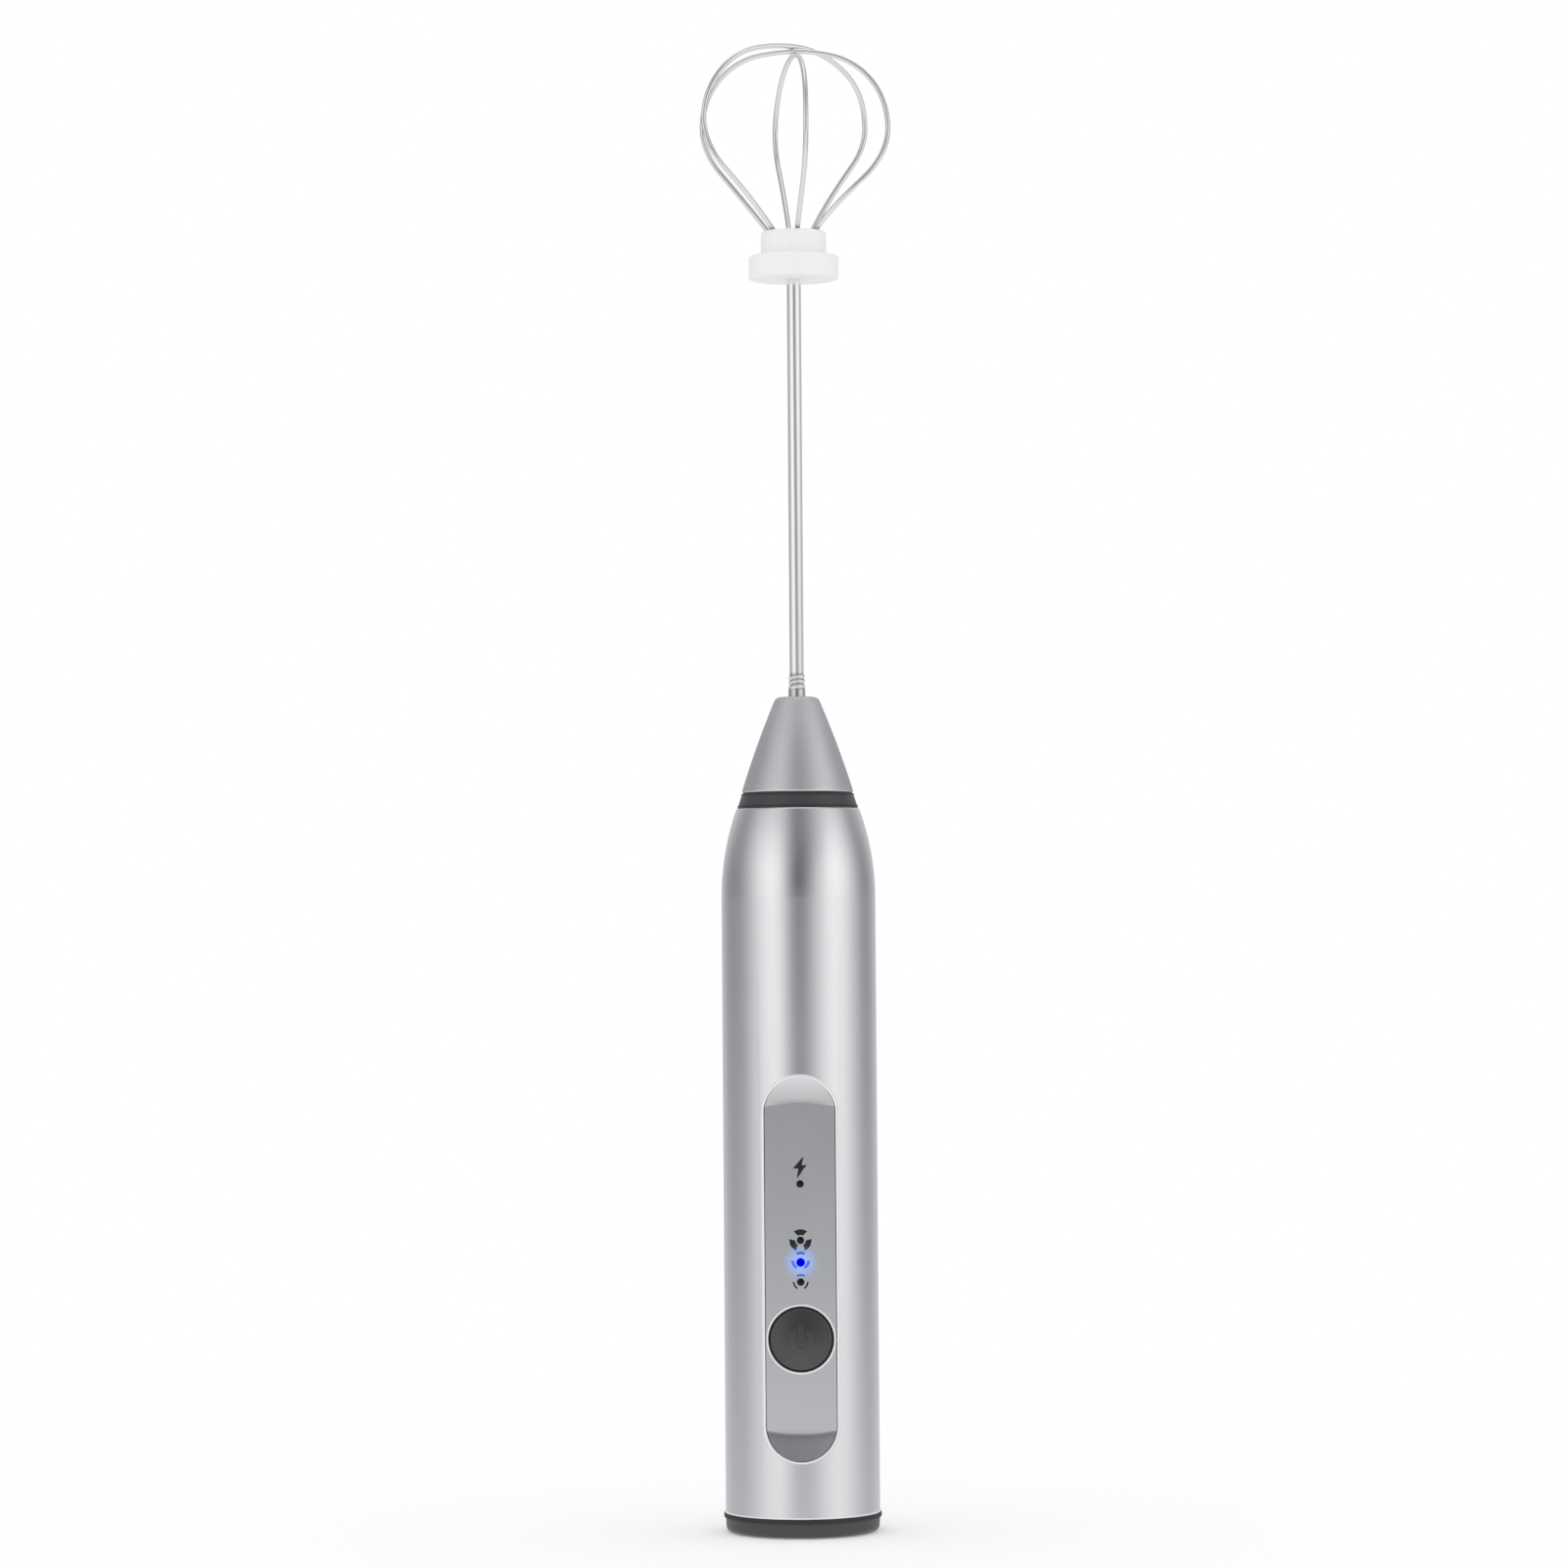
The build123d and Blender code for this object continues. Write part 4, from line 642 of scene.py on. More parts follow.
# %% Plates of ink
INK_RISE = 0.02
INK_SINK = 0.03


def thin_plate(x, z, front_y, back_y):
    """Closed plate over a grid of (x, z) points: a front sheet, a back sheet and walls round the rim.

    The rows run over the front and return over the back. A first and a last column half way
    between the sheets close the sides.
    """
    x = np.concatenate([x[:, :1], x, x[:, -1:]], axis=1)
    z = np.concatenate([z[:, :1], z, z[:, -1:]], axis=1)
    lift = np.ones(x.shape)
    lift[:, [0, -1]] = 0
    middle, half = (front_y + back_y) / 2, (back_y - front_y) / 2
    front = np.stack([x, middle - half * lift, z], axis=-1)
    back = np.stack([x, middle + half * lift, z], axis=-1)
    return np.concatenate([front, back[::-1]]) * MM


def ink_plate(x, z):
    """A plate of ink on the panel's face."""
    return thin_plate(x, z, panel_face - INK_RISE, panel_face + INK_SINK)


def lens_place(node):
    """Height of a light's centre in millimetres."""
    low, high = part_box(node)
    return (low.z + high.z) / 2 / MM


# %% Lightning bolt
BOLT_RISE = 2.95
BOLT_STEP = 0.01
BOLT_COLUMNS = 4
BOLT_TOP, BOLT_SHOULDER, BOLT_WAIST, BOLT_TIP = 1.65, 0.28, -0.28, -1.9
bolt_rows = np.array([BOLT_TOP, BOLT_SHOULDER, BOLT_SHOULDER - BOLT_STEP,
                      BOLT_WAIST, BOLT_WAIST - BOLT_STEP, BOLT_TIP])[:, None]
bolt_left = np.array([0.46, -0.73, -0.74, -1.22, -0.28, -0.54])[:, None]
bolt_right = np.array([0.62, 0.30, 1.26, 0.69, 0.68, -0.38])[:, None]
bolt_across = np.linspace(0, 1, BOLT_COLUMNS)[None]
bolt_x = bolt_left + (bolt_right - bolt_left) * bolt_across
bolt_z = lens_place("charge_lens") + BOLT_RISE + bolt_rows + 0 * bolt_across
bolt = add_piece("charge_mark", [ink_plate(bolt_x, bolt_z)], "handle", "black_plastic",
                 round_columns=False, round_rows=True)

# %% Fans
BLADES = 3
BLADE_ROWS, BLADE_COLUMNS = 5, 15
UPWARD, ROUND = 90, 360
# Each fan: inner and outer radius, half angle at each, and its rise above the light
FANS = {
    "speed_lens_high": (0.92, 1.92, 30, 38, 0.0),
    "speed_lens_medium": (1.12, 1.60, 28, 32, 0.28),
    "speed_lens_low": (1.08, 1.36, 30, 34, 0.0),
}


def blade(centre_z, inner, outer, half_inner, half_outer, towards):
    """Sector of a ring: x = r cos a, z = r sin a, whose half angle grows from inner to outer radius."""
    share = np.linspace(0, 1, BLADE_ROWS)[:, None]
    side = np.linspace(-1, 1, BLADE_COLUMNS)[None]
    radius = inner + (outer - inner) * share + 0 * side
    angle = np.radians(towards + side * (half_inner + (half_outer - half_inner) * share))
    return ink_plate(radius * np.cos(angle), centre_z + radius * np.sin(angle))


marks = [bolt]
for node, (*sector, rise) in FANS.items():
    turns = UPWARD + ROUND / BLADES * np.arange(BLADES)
    plates = [blade(lens_place(node) + rise, *sector, turn) for turn in turns]
    marks.append(add_piece(node.replace("lens", "mark"), plates, "handle", "black_plastic",
                           round_columns=False, round_rows=True))

# %% [markdown]
# ## Shared effects
# Several finishes need the same three effects: a fine grain, the cloudy trace of handling, and the
# lines that drawing leaves on metal. Each is a node group, built once and placed in every finish
# with its own values. The first two read Object coordinates, so their scale is in metres and holds on
# every part, and the lines follow a piece's own UV map. The shader itself stays in the material.

# %% Node helpers


def connect(tree, value, socket):
    """Link an output to a socket, or set the socket's own value."""
    if isinstance(value, bpy.types.NodeSocket):
        tree.links.new(value, socket)
    else:
        socket.default_value = value


def math_node(tree, operation, *values):
    """A Math node with its inputs linked or set."""
    node = tree.nodes.new("ShaderNodeMath")
    node.operation = operation
    for value, socket in zip(values, node.inputs):
        connect(tree, value, socket)
    return node.outputs[0]


def map_range(tree, value, low, high, to_low=0.0, to_high=1.0):
    """A smooth step from one range to another."""
    node = tree.nodes.new("ShaderNodeMapRange")
    node.interpolation_type = "SMOOTHSTEP"
    for number, socket in zip((value, low, high, to_low, to_high), node.inputs):
        connect(tree, number, socket)
    return node.outputs[0]


def mix(tree, factor, first, second, kind="FLOAT"):
    """From a first value to a second one by a factor."""
    node = tree.nodes.new("ShaderNodeMix")
    node.data_type = kind
    for label, value in (("Factor", factor), ("A", first), ("B", second)):
        connect(tree, value, node.inputs[label])
    return node.outputs["Result"]


def vector_node(tree, operation, vector, label=None, value=None):
    """A Vector Math node on a vector, with one more input where the operation needs it."""
    node = tree.nodes.new("ShaderNodeVectorMath")
    node.operation = operation
    connect(tree, vector, node.inputs[0])
    if label is not None:
        connect(tree, value, node.inputs[label])
    return node.outputs


def object_place(tree):
    """The shaded point in the object's own coordinates, in metres."""
    return tree.nodes.new("ShaderNodeTexCoord").outputs["Object"]


def split_axes(tree, vector):
    """The x, y and z of a vector."""
    node = tree.nodes.new("ShaderNodeSeparateXYZ")
    connect(tree, vector, node.inputs[0])
    return node.outputs


def new_group(name, inputs, outputs):
    """An empty shader node group with named sockets, and its input and output nodes."""
    group = bpy.data.node_groups.new(name, "ShaderNodeTree")
    for label, kind, value in inputs:
        socket = group.interface.new_socket(label, in_out="INPUT", socket_type=kind)
        socket.default_value = value
    for label, kind in outputs:
        group.interface.new_socket(label, in_out="OUTPUT", socket_type=kind)
    return group, group.nodes.new("NodeGroupInput").outputs, group.nodes.new("NodeGroupOutput").inputs


def noise(tree, vector, scale, detail=2.0):
    """Fractal noise between 0 and 1, at a number of cells per unit."""
    node = tree.nodes.new("ShaderNodeTexNoise")
    connect(tree, vector, node.inputs["Vector"])
    connect(tree, scale, node.inputs["Scale"])
    node.inputs["Detail"].default_value = detail
    return node.outputs["Fac"]


FLOAT, COLOR = "NodeSocketFloat", "NodeSocketColor"

# %% Grain, handling and drawn lines
GRAIN_DETAIL, CLOUD_DETAIL = 3.0, 4.0
NOISE_MIDDLE = 0.5


def grain_group():
    """Grain: the colour is scaled by 1 + spread * (noise - 0.5), and the noise is also a height."""
    group, given, out = new_group(
        "fine_grain",
        [("Color", COLOR, (0.5, 0.5, 0.5, 1)), ("Cells per metre", FLOAT, 6000), ("Spread", FLOAT, 0.1)],
        [("Color", COLOR), ("Height", FLOAT)],
    )
    fine = noise(group, object_place(group), given["Cells per metre"], GRAIN_DETAIL)
    shift = math_node(group, "MULTIPLY", math_node(group, "SUBTRACT", fine, NOISE_MIDDLE), given["Spread"])
    scaled = vector_node(group, "SCALE", given["Color"], "Scale", math_node(group, "ADD", shift, 1.0))
    connect(group, scaled[0], out["Color"])
    connect(group, fine, out["Height"])
    return group


def handling_group():
    """Handling: broad soft clouds with finer ones in them move a base value up and down."""
    group, given, out = new_group(
        "handling",
        [("Base", FLOAT, 0.4), ("Swing", FLOAT, 0.1), ("Clouds per metre", FLOAT, 90)],
        [("Value", FLOAT)],
    )
    cloud = noise(group, object_place(group), given["Clouds per metre"], CLOUD_DETAIL)
    swing = math_node(group, "MULTIPLY", math_node(group, "SUBTRACT", cloud, NOISE_MIDDLE), given["Swing"])
    connect(group, math_node(group, "ADD", swing, given["Base"]), out["Value"])
    return group


def drawn_group():
    """Drawn lines: noise on the piece's own UV, fine across the wire and long along it."""
    group, given, out = new_group(
        "drawn_lines",
        [("Across", FLOAT, 30), ("Along", FLOAT, 8)],
        [("Height", FLOAT)],
    )
    place = group.nodes.new("ShaderNodeTexCoord").outputs["UV"]
    stretch = group.nodes.new("ShaderNodeCombineXYZ")
    connect(group, given["Across"], stretch.inputs["X"])
    connect(group, given["Along"], stretch.inputs["Y"])
    product = vector_node(group, "MULTIPLY", place, 1, stretch.outputs[0])
    connect(group, noise(group, product[0], 1.0, GRAIN_DETAIL), out["Height"])
    return group


GRAIN, HANDLING, DRAWN = grain_group(), handling_group(), drawn_group()
print("node groups:", [group.name for group in bpy.data.node_groups])

# %% [markdown]
# ## The glow of the lit light
# The middle speed light is on. Its blue spills over the panel round it and tints the printed marks.
# A real lamp behind each pin would need glass and many samples. The spill is soft and close, so it is
# painted light: a ring of emission and a blue tint in the colour that fade with the distance from the
# light, on both the panel and the ink, and both take it from one group.

# %% Glow group
GLOW_FROM, GLOW_REACH = 0.9, 3.4


def glow_group():
    """Spill: a smooth fall from the light's rim to its reach tints a colour and scales a glow."""
    low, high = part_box("speed_lens_medium")
    group, given, out = new_group(
        "light_spill",
        [(label, COLOR, (0.5, 0.5, 0.5, 1)) for label in ("Color", "Tint", "Glow")],
        [("Color", COLOR), ("Glow", COLOR)],
    )
    light = ((low.x + high.x) / 2, low.y, (low.z + high.z) / 2)
    distance = vector_node(group, "DISTANCE", object_place(group), 1, light)["Value"]
    fall = map_range(group, distance, GLOW_FROM * MM, GLOW_REACH * MM, 1.0, 0.0)
    connect(group, mix(group, fall, given["Color"], given["Tint"], "RGBA"), out["Color"])
    connect(group, vector_node(group, "SCALE", given["Glow"], "Scale", fall)[0], out["Glow"])
    return group


GLOW = glow_group()
print("one more group:", GLOW.name)

# %% [markdown]
# ## Finishes
# Almost every finish on this object is a colour with a grain and a trace of handling, so one
# function builds that and returns the material with its nodes, for the few finishes that add more.
# Values that are the same all over a surface are set on the shader's own sockets. A second function
# scales a colour that is already linked, to paint shade on the places that lie in shade.

# %% Plain finish


def place_group(tree, group, **values):
    """A node of a shared group with its own values."""
    node = tree.nodes.new("ShaderNodeGroup")
    node.node_tree = group
    for label, value in values.items():
        node.inputs[label.replace("_", " ")].default_value = value
    return node


def finish(name, color, roughness, metallic=0.0, cells=6000, spread=0.1, bump=0.1, swing=0.1, clouds=90):
    """Material of a colour with grain in colour and height, and handling in the roughness."""
    material = bpy.data.materials.new(name)
    material.use_nodes = True
    tree = material.node_tree
    shader = tree.nodes["Principled BSDF"]
    shader.inputs["Metallic"].default_value = metallic
    grain = place_group(tree, GRAIN, Color=(*color, 1), Cells_per_metre=cells, Spread=spread)
    handling = place_group(tree, HANDLING, Base=roughness, Swing=swing, Clouds_per_metre=clouds)
    relief = tree.nodes.new("ShaderNodeBump")
    relief.inputs["Strength"].default_value = bump
    relief.inputs["Distance"].default_value = 1 / cells
    connect(tree, grain.outputs["Color"], shader.inputs["Base Color"])
    connect(tree, handling.outputs["Value"], shader.inputs["Roughness"])
    connect(tree, grain.outputs["Height"], relief.inputs["Height"])
    connect(tree, relief.outputs["Normal"], shader.inputs["Normal"])
    return material, tree, shader, relief


def paint_shade(tree, shader, factor):
    """Painted shade: scale the colour that is linked to a shader."""
    color = shader.inputs["Base Color"].links[0].from_socket
    connect(tree, vector_node(tree, "SCALE", color, "Scale", factor)[0], shader.inputs["Base Color"])


# %% [markdown]
# ## Silver coat, panel and ink
# The tube and nose wear a satin silver coat with a fine metallic flake. It behaves like rough metal:
# it has no colour of its own except what it mirrors. The nose is rougher, most of all at its tip, and
# its rim mirrors less. The panel is the same kind of coat in grey, with shade painted into its colour:
# it is darker towards its upper end, and in the creases where it bends out to the wall of the tube.
# It also takes the blue spill of the lit light, which is painted light.

# %% Coats
NOSE_RIM = 0.6
FOOT_DULL, TIP_DULL, DULL_REACH = 0.89, 1.3, 11
PANEL_SHADE = 0.81
CREASE_DROP, CREASE_REACH, CREASE_SHADE = 4.3, 0.6, 0.78
RAMP_RISE, RAMP_SOFT, RAMP_SHADE = 4.0, 1.6, 0.74
FLAKE = {"metallic": 1.0, "cells": 9000, "spread": 0.12, "swing": 0.05}
PANEL_FLAKE = {"metallic": 1.0, "cells": 8000, "spread": 0.1, "swing": 0.05}
EDGE_HIGHLIGHT_METAL = {"metallic": 0.4, "cells": 9000, "spread": 0.05, "swing": 0.05}


def dull_tip(tree, shader):
    """Scale the roughness by height: a little less at the nose's foot, and more at its tip."""
    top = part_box("nose_cone")[1].z
    height = split_axes(tree, object_place(tree))["Z"]
    dull = map_range(tree, height, top - DULL_REACH * MM, top, FOOT_DULL, TIP_DULL)
    rough = shader.inputs["Roughness"].links[0].from_socket
    connect(tree, math_node(tree, "MULTIPLY", rough, dull), shader.inputs["Roughness"])


def paint_panel_shade(tree, shader):
    """Painted shade by height: darker towards the top, in the upper crease and on the lower ramp."""
    height = split_axes(tree, object_place(tree))["Z"]
    crease = panel_high.z - CREASE_DROP * MM
    ramp = panel_low.z + RAMP_RISE * MM
    above = map_range(tree, height, crease, panel_high.z, CREASE_SHADE, 1.0)
    below = map_range(tree, height, crease - CREASE_REACH * MM, crease, 1.0, CREASE_SHADE)
    shade = map_range(tree, height, panel_low.z, panel_high.z, 1.0, PANEL_SHADE)
    shade = math_node(tree, "MULTIPLY", shade, math_node(tree, "MAXIMUM", above, below))
    on_ramp = map_range(tree, height, ramp, ramp + RAMP_SOFT * MM, RAMP_SHADE, 1.0)
    paint_shade(tree, shader, math_node(tree, "MULTIPLY", shade, on_ramp))


def lit_beside(material, tree, shader, tint, glow):
    """Put the light's spill between a finish's grain and its shader."""
    spill = place_group(tree, GLOW, Tint=(*tint, 1), Glow=(*glow, 1))
    grain_color = shader.inputs["Base Color"].links[0].from_socket
    connect(tree, grain_color, spill.inputs["Color"])
    connect(tree, spill.outputs["Color"], shader.inputs["Base Color"])
    connect(tree, spill.outputs["Glow"], shader.inputs["Emission Color"])
    shader.inputs["Emission Strength"].default_value = 1.0
    return material


silver, *_ = finish("satin_silver_coat", (0.82, 0.825, 0.83), roughness=0.25, bump=0.05, **FLAKE)
nose_silver, *nose_parts = finish("satin_nose_coat", (0.755, 0.76, 0.77), roughness=0.47, bump=0.06, **FLAKE)
nose_parts[1].inputs["Specular Tint"].default_value = (NOSE_RIM, NOSE_RIM, NOSE_RIM, 1)
dull_tip(*nose_parts[:2])
# Painted highlight: a near-white finish, only partly metal, so the edge beads stay bright.
bright_edge_highlight, *_ = finish("bright_cut_edge", (0.97, 0.97, 0.97), roughness=0.25, bump=0.03, **EDGE_HIGHLIGHT_METAL)
panel_parts = finish("grey_panel_coat", (0.865, 0.875, 0.89), roughness=0.30, bump=0.05, **PANEL_FLAKE)
# Painted shade on the panel: darker towards the top, in the upper crease and on the lower ramp.
paint_panel_shade(*panel_parts[1:3])
# Painted light on the panel: the blue spill of the lit light, as tint and glow.
panel_grey = lit_beside(*panel_parts[:3], tint=(0.62, 0.70, 0.80), glow=(0.06, 0.15, 0.54))
ink_parts = finish("mark_ink", (0.02, 0.02, 0.022), roughness=0.6, cells=15000, spread=0.5)
ink_parts[2].inputs["Specular IOR Level"].default_value = 0.2
# Painted light on the ink: the same blue spill.
ink = lit_beside(*ink_parts[:3], tint=(0.01, 0.02, 0.12), glow=(0.09, 0.16, 0.62))
print("coats:", silver.name, nose_silver.name, bright_edge_highlight.name, panel_grey.name, ink.name)

# %% [markdown]
# ## Plastics, lights and steel
# The ring, cap and button are black plastic with a fine spark texture. The unlit lights are dark and
# glossy under a clear coat, and the lit one shines deep blue. The stem and wires are polished steel
# with faint lines along their length. The grooves of the thread, the rest of the plug and the feet of
# the wires, where they enter the hub, get painted shade: their colour is made darker.

# %% Plastics, lights and steel
SPARK = {"cells": 5000, "spread": 0.3, "swing": 0.12}
POLISHED = {"cells": 9000, "bump": 0.02, "swing": 0.06}
GROOVE_SHADE, PLUG_SHADE = 0.5, 0.7
GROOVE_FROM, GROOVE_TO = 0.3, -0.9
GROOVE_FADE_LOW, GROOVE_FADE_HIGH = 0.2, 0.1
PLUG_SHADE_FROM, PLUG_SHADE_TO = 0.2, 0.3
FOOT_SHADE, FOOT_REACH = 0.45, 0.9
LINES_ACROSS, LINE_DEPTH = 36, 0.01

black_plastic, *_ = finish("black_spark_plastic", (0.046, 0.046, 0.048), roughness=0.40, **SPARK)
cap_plastic, *_ = finish("black_foot_plastic", (0.056, 0.056, 0.058), roughness=0.40, **SPARK)
button_plastic, _, button_shader, _ = finish(
    "button_plastic", (0.031, 0.031, 0.033), roughness=0.30, cells=5000, spread=0.25, bump=0.06)
button_shader.inputs["Specular IOR Level"].default_value = 0.9
white_plastic, *_ = finish(
    "milky_plastic", (0.885, 0.885, 0.885), roughness=0.42, cells=2500, spread=0.03, bump=0.05, swing=0.12)


def dark_light():
    """Unlit light: nearly black under a clear coat."""
    color = (0.006, 0.005, 0.008)
    material, _, shader, _ = finish("unlit_light", color, roughness=0.12, spread=0.3, **POLISHED)
    shader.inputs["Specular IOR Level"].default_value = 0.2
    shader.inputs["Coat Weight"].default_value = 0.1
    return material


def blue_light():
    """Lit light: deep blue emission with a coarse grain."""
    material, tree, shader, _ = finish("lit_light", (0.0, 0.0, 0.15), roughness=0.3, spread=0.2, **POLISHED)
    shader.inputs["Specular IOR Level"].default_value = 0.0
    core = place_group(tree, GRAIN, Color=(0.0, 0.0, 0.65, 1), Cells_per_metre=1500, Spread=0.3)
    connect(tree, core.outputs["Color"], shader.inputs["Emission Color"])
    shader.inputs["Emission Strength"].default_value = 1.0
    return material


def drawn_steel(name, tone, metallic, along):
    """Polished rod or wire: metal with drawn lines in its height."""
    material, tree, shader, relief = finish(
        name, (tone,) * 3, roughness=0.15, metallic=metallic, cells=12000, spread=0.08, bump=0.08)
    lines = place_group(tree, DRAWN, Across=LINES_ACROSS, Along=along)
    connect(tree, lines.outputs["Height"], relief.inputs["Height"])
    relief.inputs["Distance"].default_value = LINE_DEPTH * MM
    return material, tree, shader


def paint_wire_foot_shade(tree, shader):
    """Painted shade: darken the wires' colour towards the top of the hub."""
    height = split_axes(tree, object_place(tree))["Z"]
    shade = map_range(tree, height, hub_top * MM, (hub_top + FOOT_REACH) * MM, FOOT_SHADE, 1.0)
    paint_shade(tree, shader, shade)


def paint_thread_shade(tree, shader):
    """Painted shade in the thread's grooves, by the same cosine of height and angle that cut them."""
    x, y, z = split_axes(tree, object_place(tree))
    height = math_node(tree, "DIVIDE", z, MM)
    turns = math_node(tree, "MULTIPLY", z, 2 * math.pi / (THREAD_PITCH * MM))
    wave = math_node(tree, "COSINE", math_node(tree, "SUBTRACT", turns, math_node(tree, "ARCTAN2", y, x)))
    groove = map_range(tree, wave, GROOVE_FROM, GROOVE_TO, 1.0, GROOVE_SHADE)
    starts = map_range(tree, height, thread_start, thread_start + GROOVE_FADE_LOW)
    ends = map_range(tree, height, plug_top - GROOVE_FADE_HIGH, plug_top, 1.0, 0.0)
    below_top = map_range(tree, height, plug_top + PLUG_SHADE_FROM, plug_top + PLUG_SHADE_TO, PLUG_SHADE, 1.0)
    paint_shade(tree, shader, mix(tree, math_node(tree, "MULTIPLY", starts, ends), below_top, groove))


unlit, lit = dark_light(), blue_light()
rod_steel, *rod_nodes = drawn_steel("rod_steel", tone=0.88, metallic=0.76, along=10)
# Painted shade in the grooves of the thread and over the rest of the plug.
paint_thread_shade(*rod_nodes)
wire_steel, *wire_nodes = drawn_steel("wire_steel", tone=0.80, metallic=0.90, along=16)
# Painted shade on the wires where they enter the hub.
paint_wire_foot_shade(*wire_nodes)
print("lights and steel:", unlit.name, lit.name, rod_steel.name, wire_steel.name)

# %% [markdown]
# ## Finishes inside the handle
# The inner parts are hidden, but a part that is taken apart or exported still shows them. They need no
# special shader, so a short table gives each slot its colour, roughness, metal share and grain, and
# a loop builds them.

# %% Inner finishes
INNER = {
    "socket_metal": ((0.62, 0.61, 0.58), 0.28, 1.0, 5000, 0.10),
    "inner_plastic": ((0.72, 0.72, 0.69), 0.50, 0.0, 2500, 0.06),
    "board": ((0.03, 0.16, 0.07), 0.38, 0.0, 1800, 0.25),
    "chip": ((0.03, 0.03, 0.033), 0.55, 0.0, 6000, 0.30),
    "led_body": ((0.80, 0.79, 0.72), 0.25, 0.0, 4000, 0.08),
    "screw_steel": ((0.55, 0.55, 0.57), 0.35, 1.0, 6000, 0.15),
    "cell_wrap": ((0.07, 0.20, 0.45), 0.22, 0.0, 1500, 0.10),
    "nickel": ((0.66, 0.64, 0.58), 0.30, 1.0, 5000, 0.12),
    "motor_steel": ((0.58, 0.58, 0.59), 0.34, 1.0, 3500, 0.15),
    "motor_plastic": ((0.78, 0.75, 0.68), 0.45, 0.0, 2500, 0.06),
    "bronze": ((0.30, 0.25, 0.20), 0.50, 1.0, 7000, 0.35),
    "magnet": ((0.07, 0.07, 0.075), 0.62, 0.0, 5000, 0.40),
    "copper": ((0.72, 0.33, 0.16), 0.32, 1.0, 4000, 0.20),
    "core_iron": ((0.30, 0.30, 0.31), 0.48, 1.0, 4500, 0.25),
    "brass": ((0.76, 0.58, 0.27), 0.25, 1.0, 5000, 0.12),
    "red_lead": ((0.50, 0.025, 0.02), 0.40, 0.0, 3000, 0.10),
    "black_lead": ((0.025, 0.025, 0.026), 0.42, 0.0, 3000, 0.20),
    "seal_rubber": ((0.022, 0.022, 0.022), 0.60, 0.0, 4000, 0.30),
}
finishes = {
    "silver_shell": silver, "silver_nose": nose_silver, "grey_panel": panel_grey,
    "black_plastic": black_plastic, "white_plastic": white_plastic, "bright_steel": wire_steel,
    "dark_lens": unlit, "lit_lens": lit,
}
for slot, (color, roughness, metallic, cells, spread) in INNER.items():
    finishes[slot], *_ = finish(slot + "_finish", color, roughness, metallic, cells, spread)
print(len(finishes), "finishes")

# %% [markdown]
# ## Dressing the parts
# The record says which slot each node belongs to, and each new piece was given a slot when it was
# made. A finish is put on the whole piece, and the mesh stays as it is. The marks, the bright edges,
# the stem, the button and the cap then get a finish of their own.

# %% Dress every piece
node_slot = {part["node"]: part["material_slot"] for part in frame["record"]["subparts"]}


def dress(piece, material):
    """One material on the whole piece."""
    piece.data.materials.clear()
    piece.data.materials.append(material)


for name, node in nodes.items():
    dress(node, finishes[node_slot[name]])
for name, slot in piece_slots.items():
    dress(scene.objects[name], finishes[slot])
for mark in marks:
    dress(mark, ink)
for edge in edges:
    dress(edge, bright_edge_highlight)
dress(stem, rod_steel)
dress(button, button_plastic)
dress(cap, cap_plastic)
print(len(nodes), "nodes and", len(piece_slots), "new pieces dressed")

# %% [markdown]
# ## Floor
# A white disc carries the object. It is lit by the surroundings and keeps the soft shadow at the
# foot. A diffuse surface never quite reaches white, so for the camera alone a little light is added,
# and towards the rim the disc fades into the white behind it. The light that it throws back up to the
# object is that of a whiter paint. What the metal mirrors of the floor comes from the studio below, so
# the disc itself stays out of mirrored rays.

# %% Floor
FLOOR_RADIUS = 0.45
FLOOR_DROP = 0.0001
FLOOR_WHITE, FLOOR_BOUNCE = 0.75, 0.97
FLOOR_ROWS, FLOOR_COLUMNS = 24, 96


def floor_paint():
    """White paint, plus emission for camera rays that grows towards the rim."""
    material = bpy.data.materials.new("white_floor")
    material.use_nodes = True
    tree = material.node_tree
    shader = tree.nodes["Principled BSDF"]
    shader.inputs["Roughness"].default_value = 1.0
    shader.inputs["Specular IOR Level"].default_value = 0.0
    radius = vector_node(tree, "LENGTH", object_place(tree))["Value"]
    seen = tree.nodes.new("ShaderNodeLightPath").outputs["Is Camera Ray"]
    connect(tree, map_range(tree, seen, 0.0, 1.0, FLOOR_BOUNCE, FLOOR_WHITE), shader.inputs["Base Color"])
    glow = tree.nodes.new("ShaderNodeEmission")
    connect(tree, math_node(tree, "MULTIPLY", seen, 1 - FLOOR_WHITE), glow.inputs["Strength"])
    both = tree.nodes.new("ShaderNodeAddShader")
    connect(tree, shader.outputs[0], both.inputs[0])
    connect(tree, glow.outputs[0], both.inputs[1])
    white = tree.nodes.new("ShaderNodeEmission")
    blend = tree.nodes.new("ShaderNodeMixShader")
    rim = map_range(tree, radius, FLOOR_RADIUS / 3, FLOOR_RADIUS)
    connect(tree, math_node(tree, "MULTIPLY", seen, rim), blend.inputs[0])
    connect(tree, both.outputs[0], blend.inputs[1])
    connect(tree, white.outputs[0], blend.inputs[2])
    connect(tree, blend.outputs[0], tree.nodes["Material Output"].inputs["Surface"])
    return material


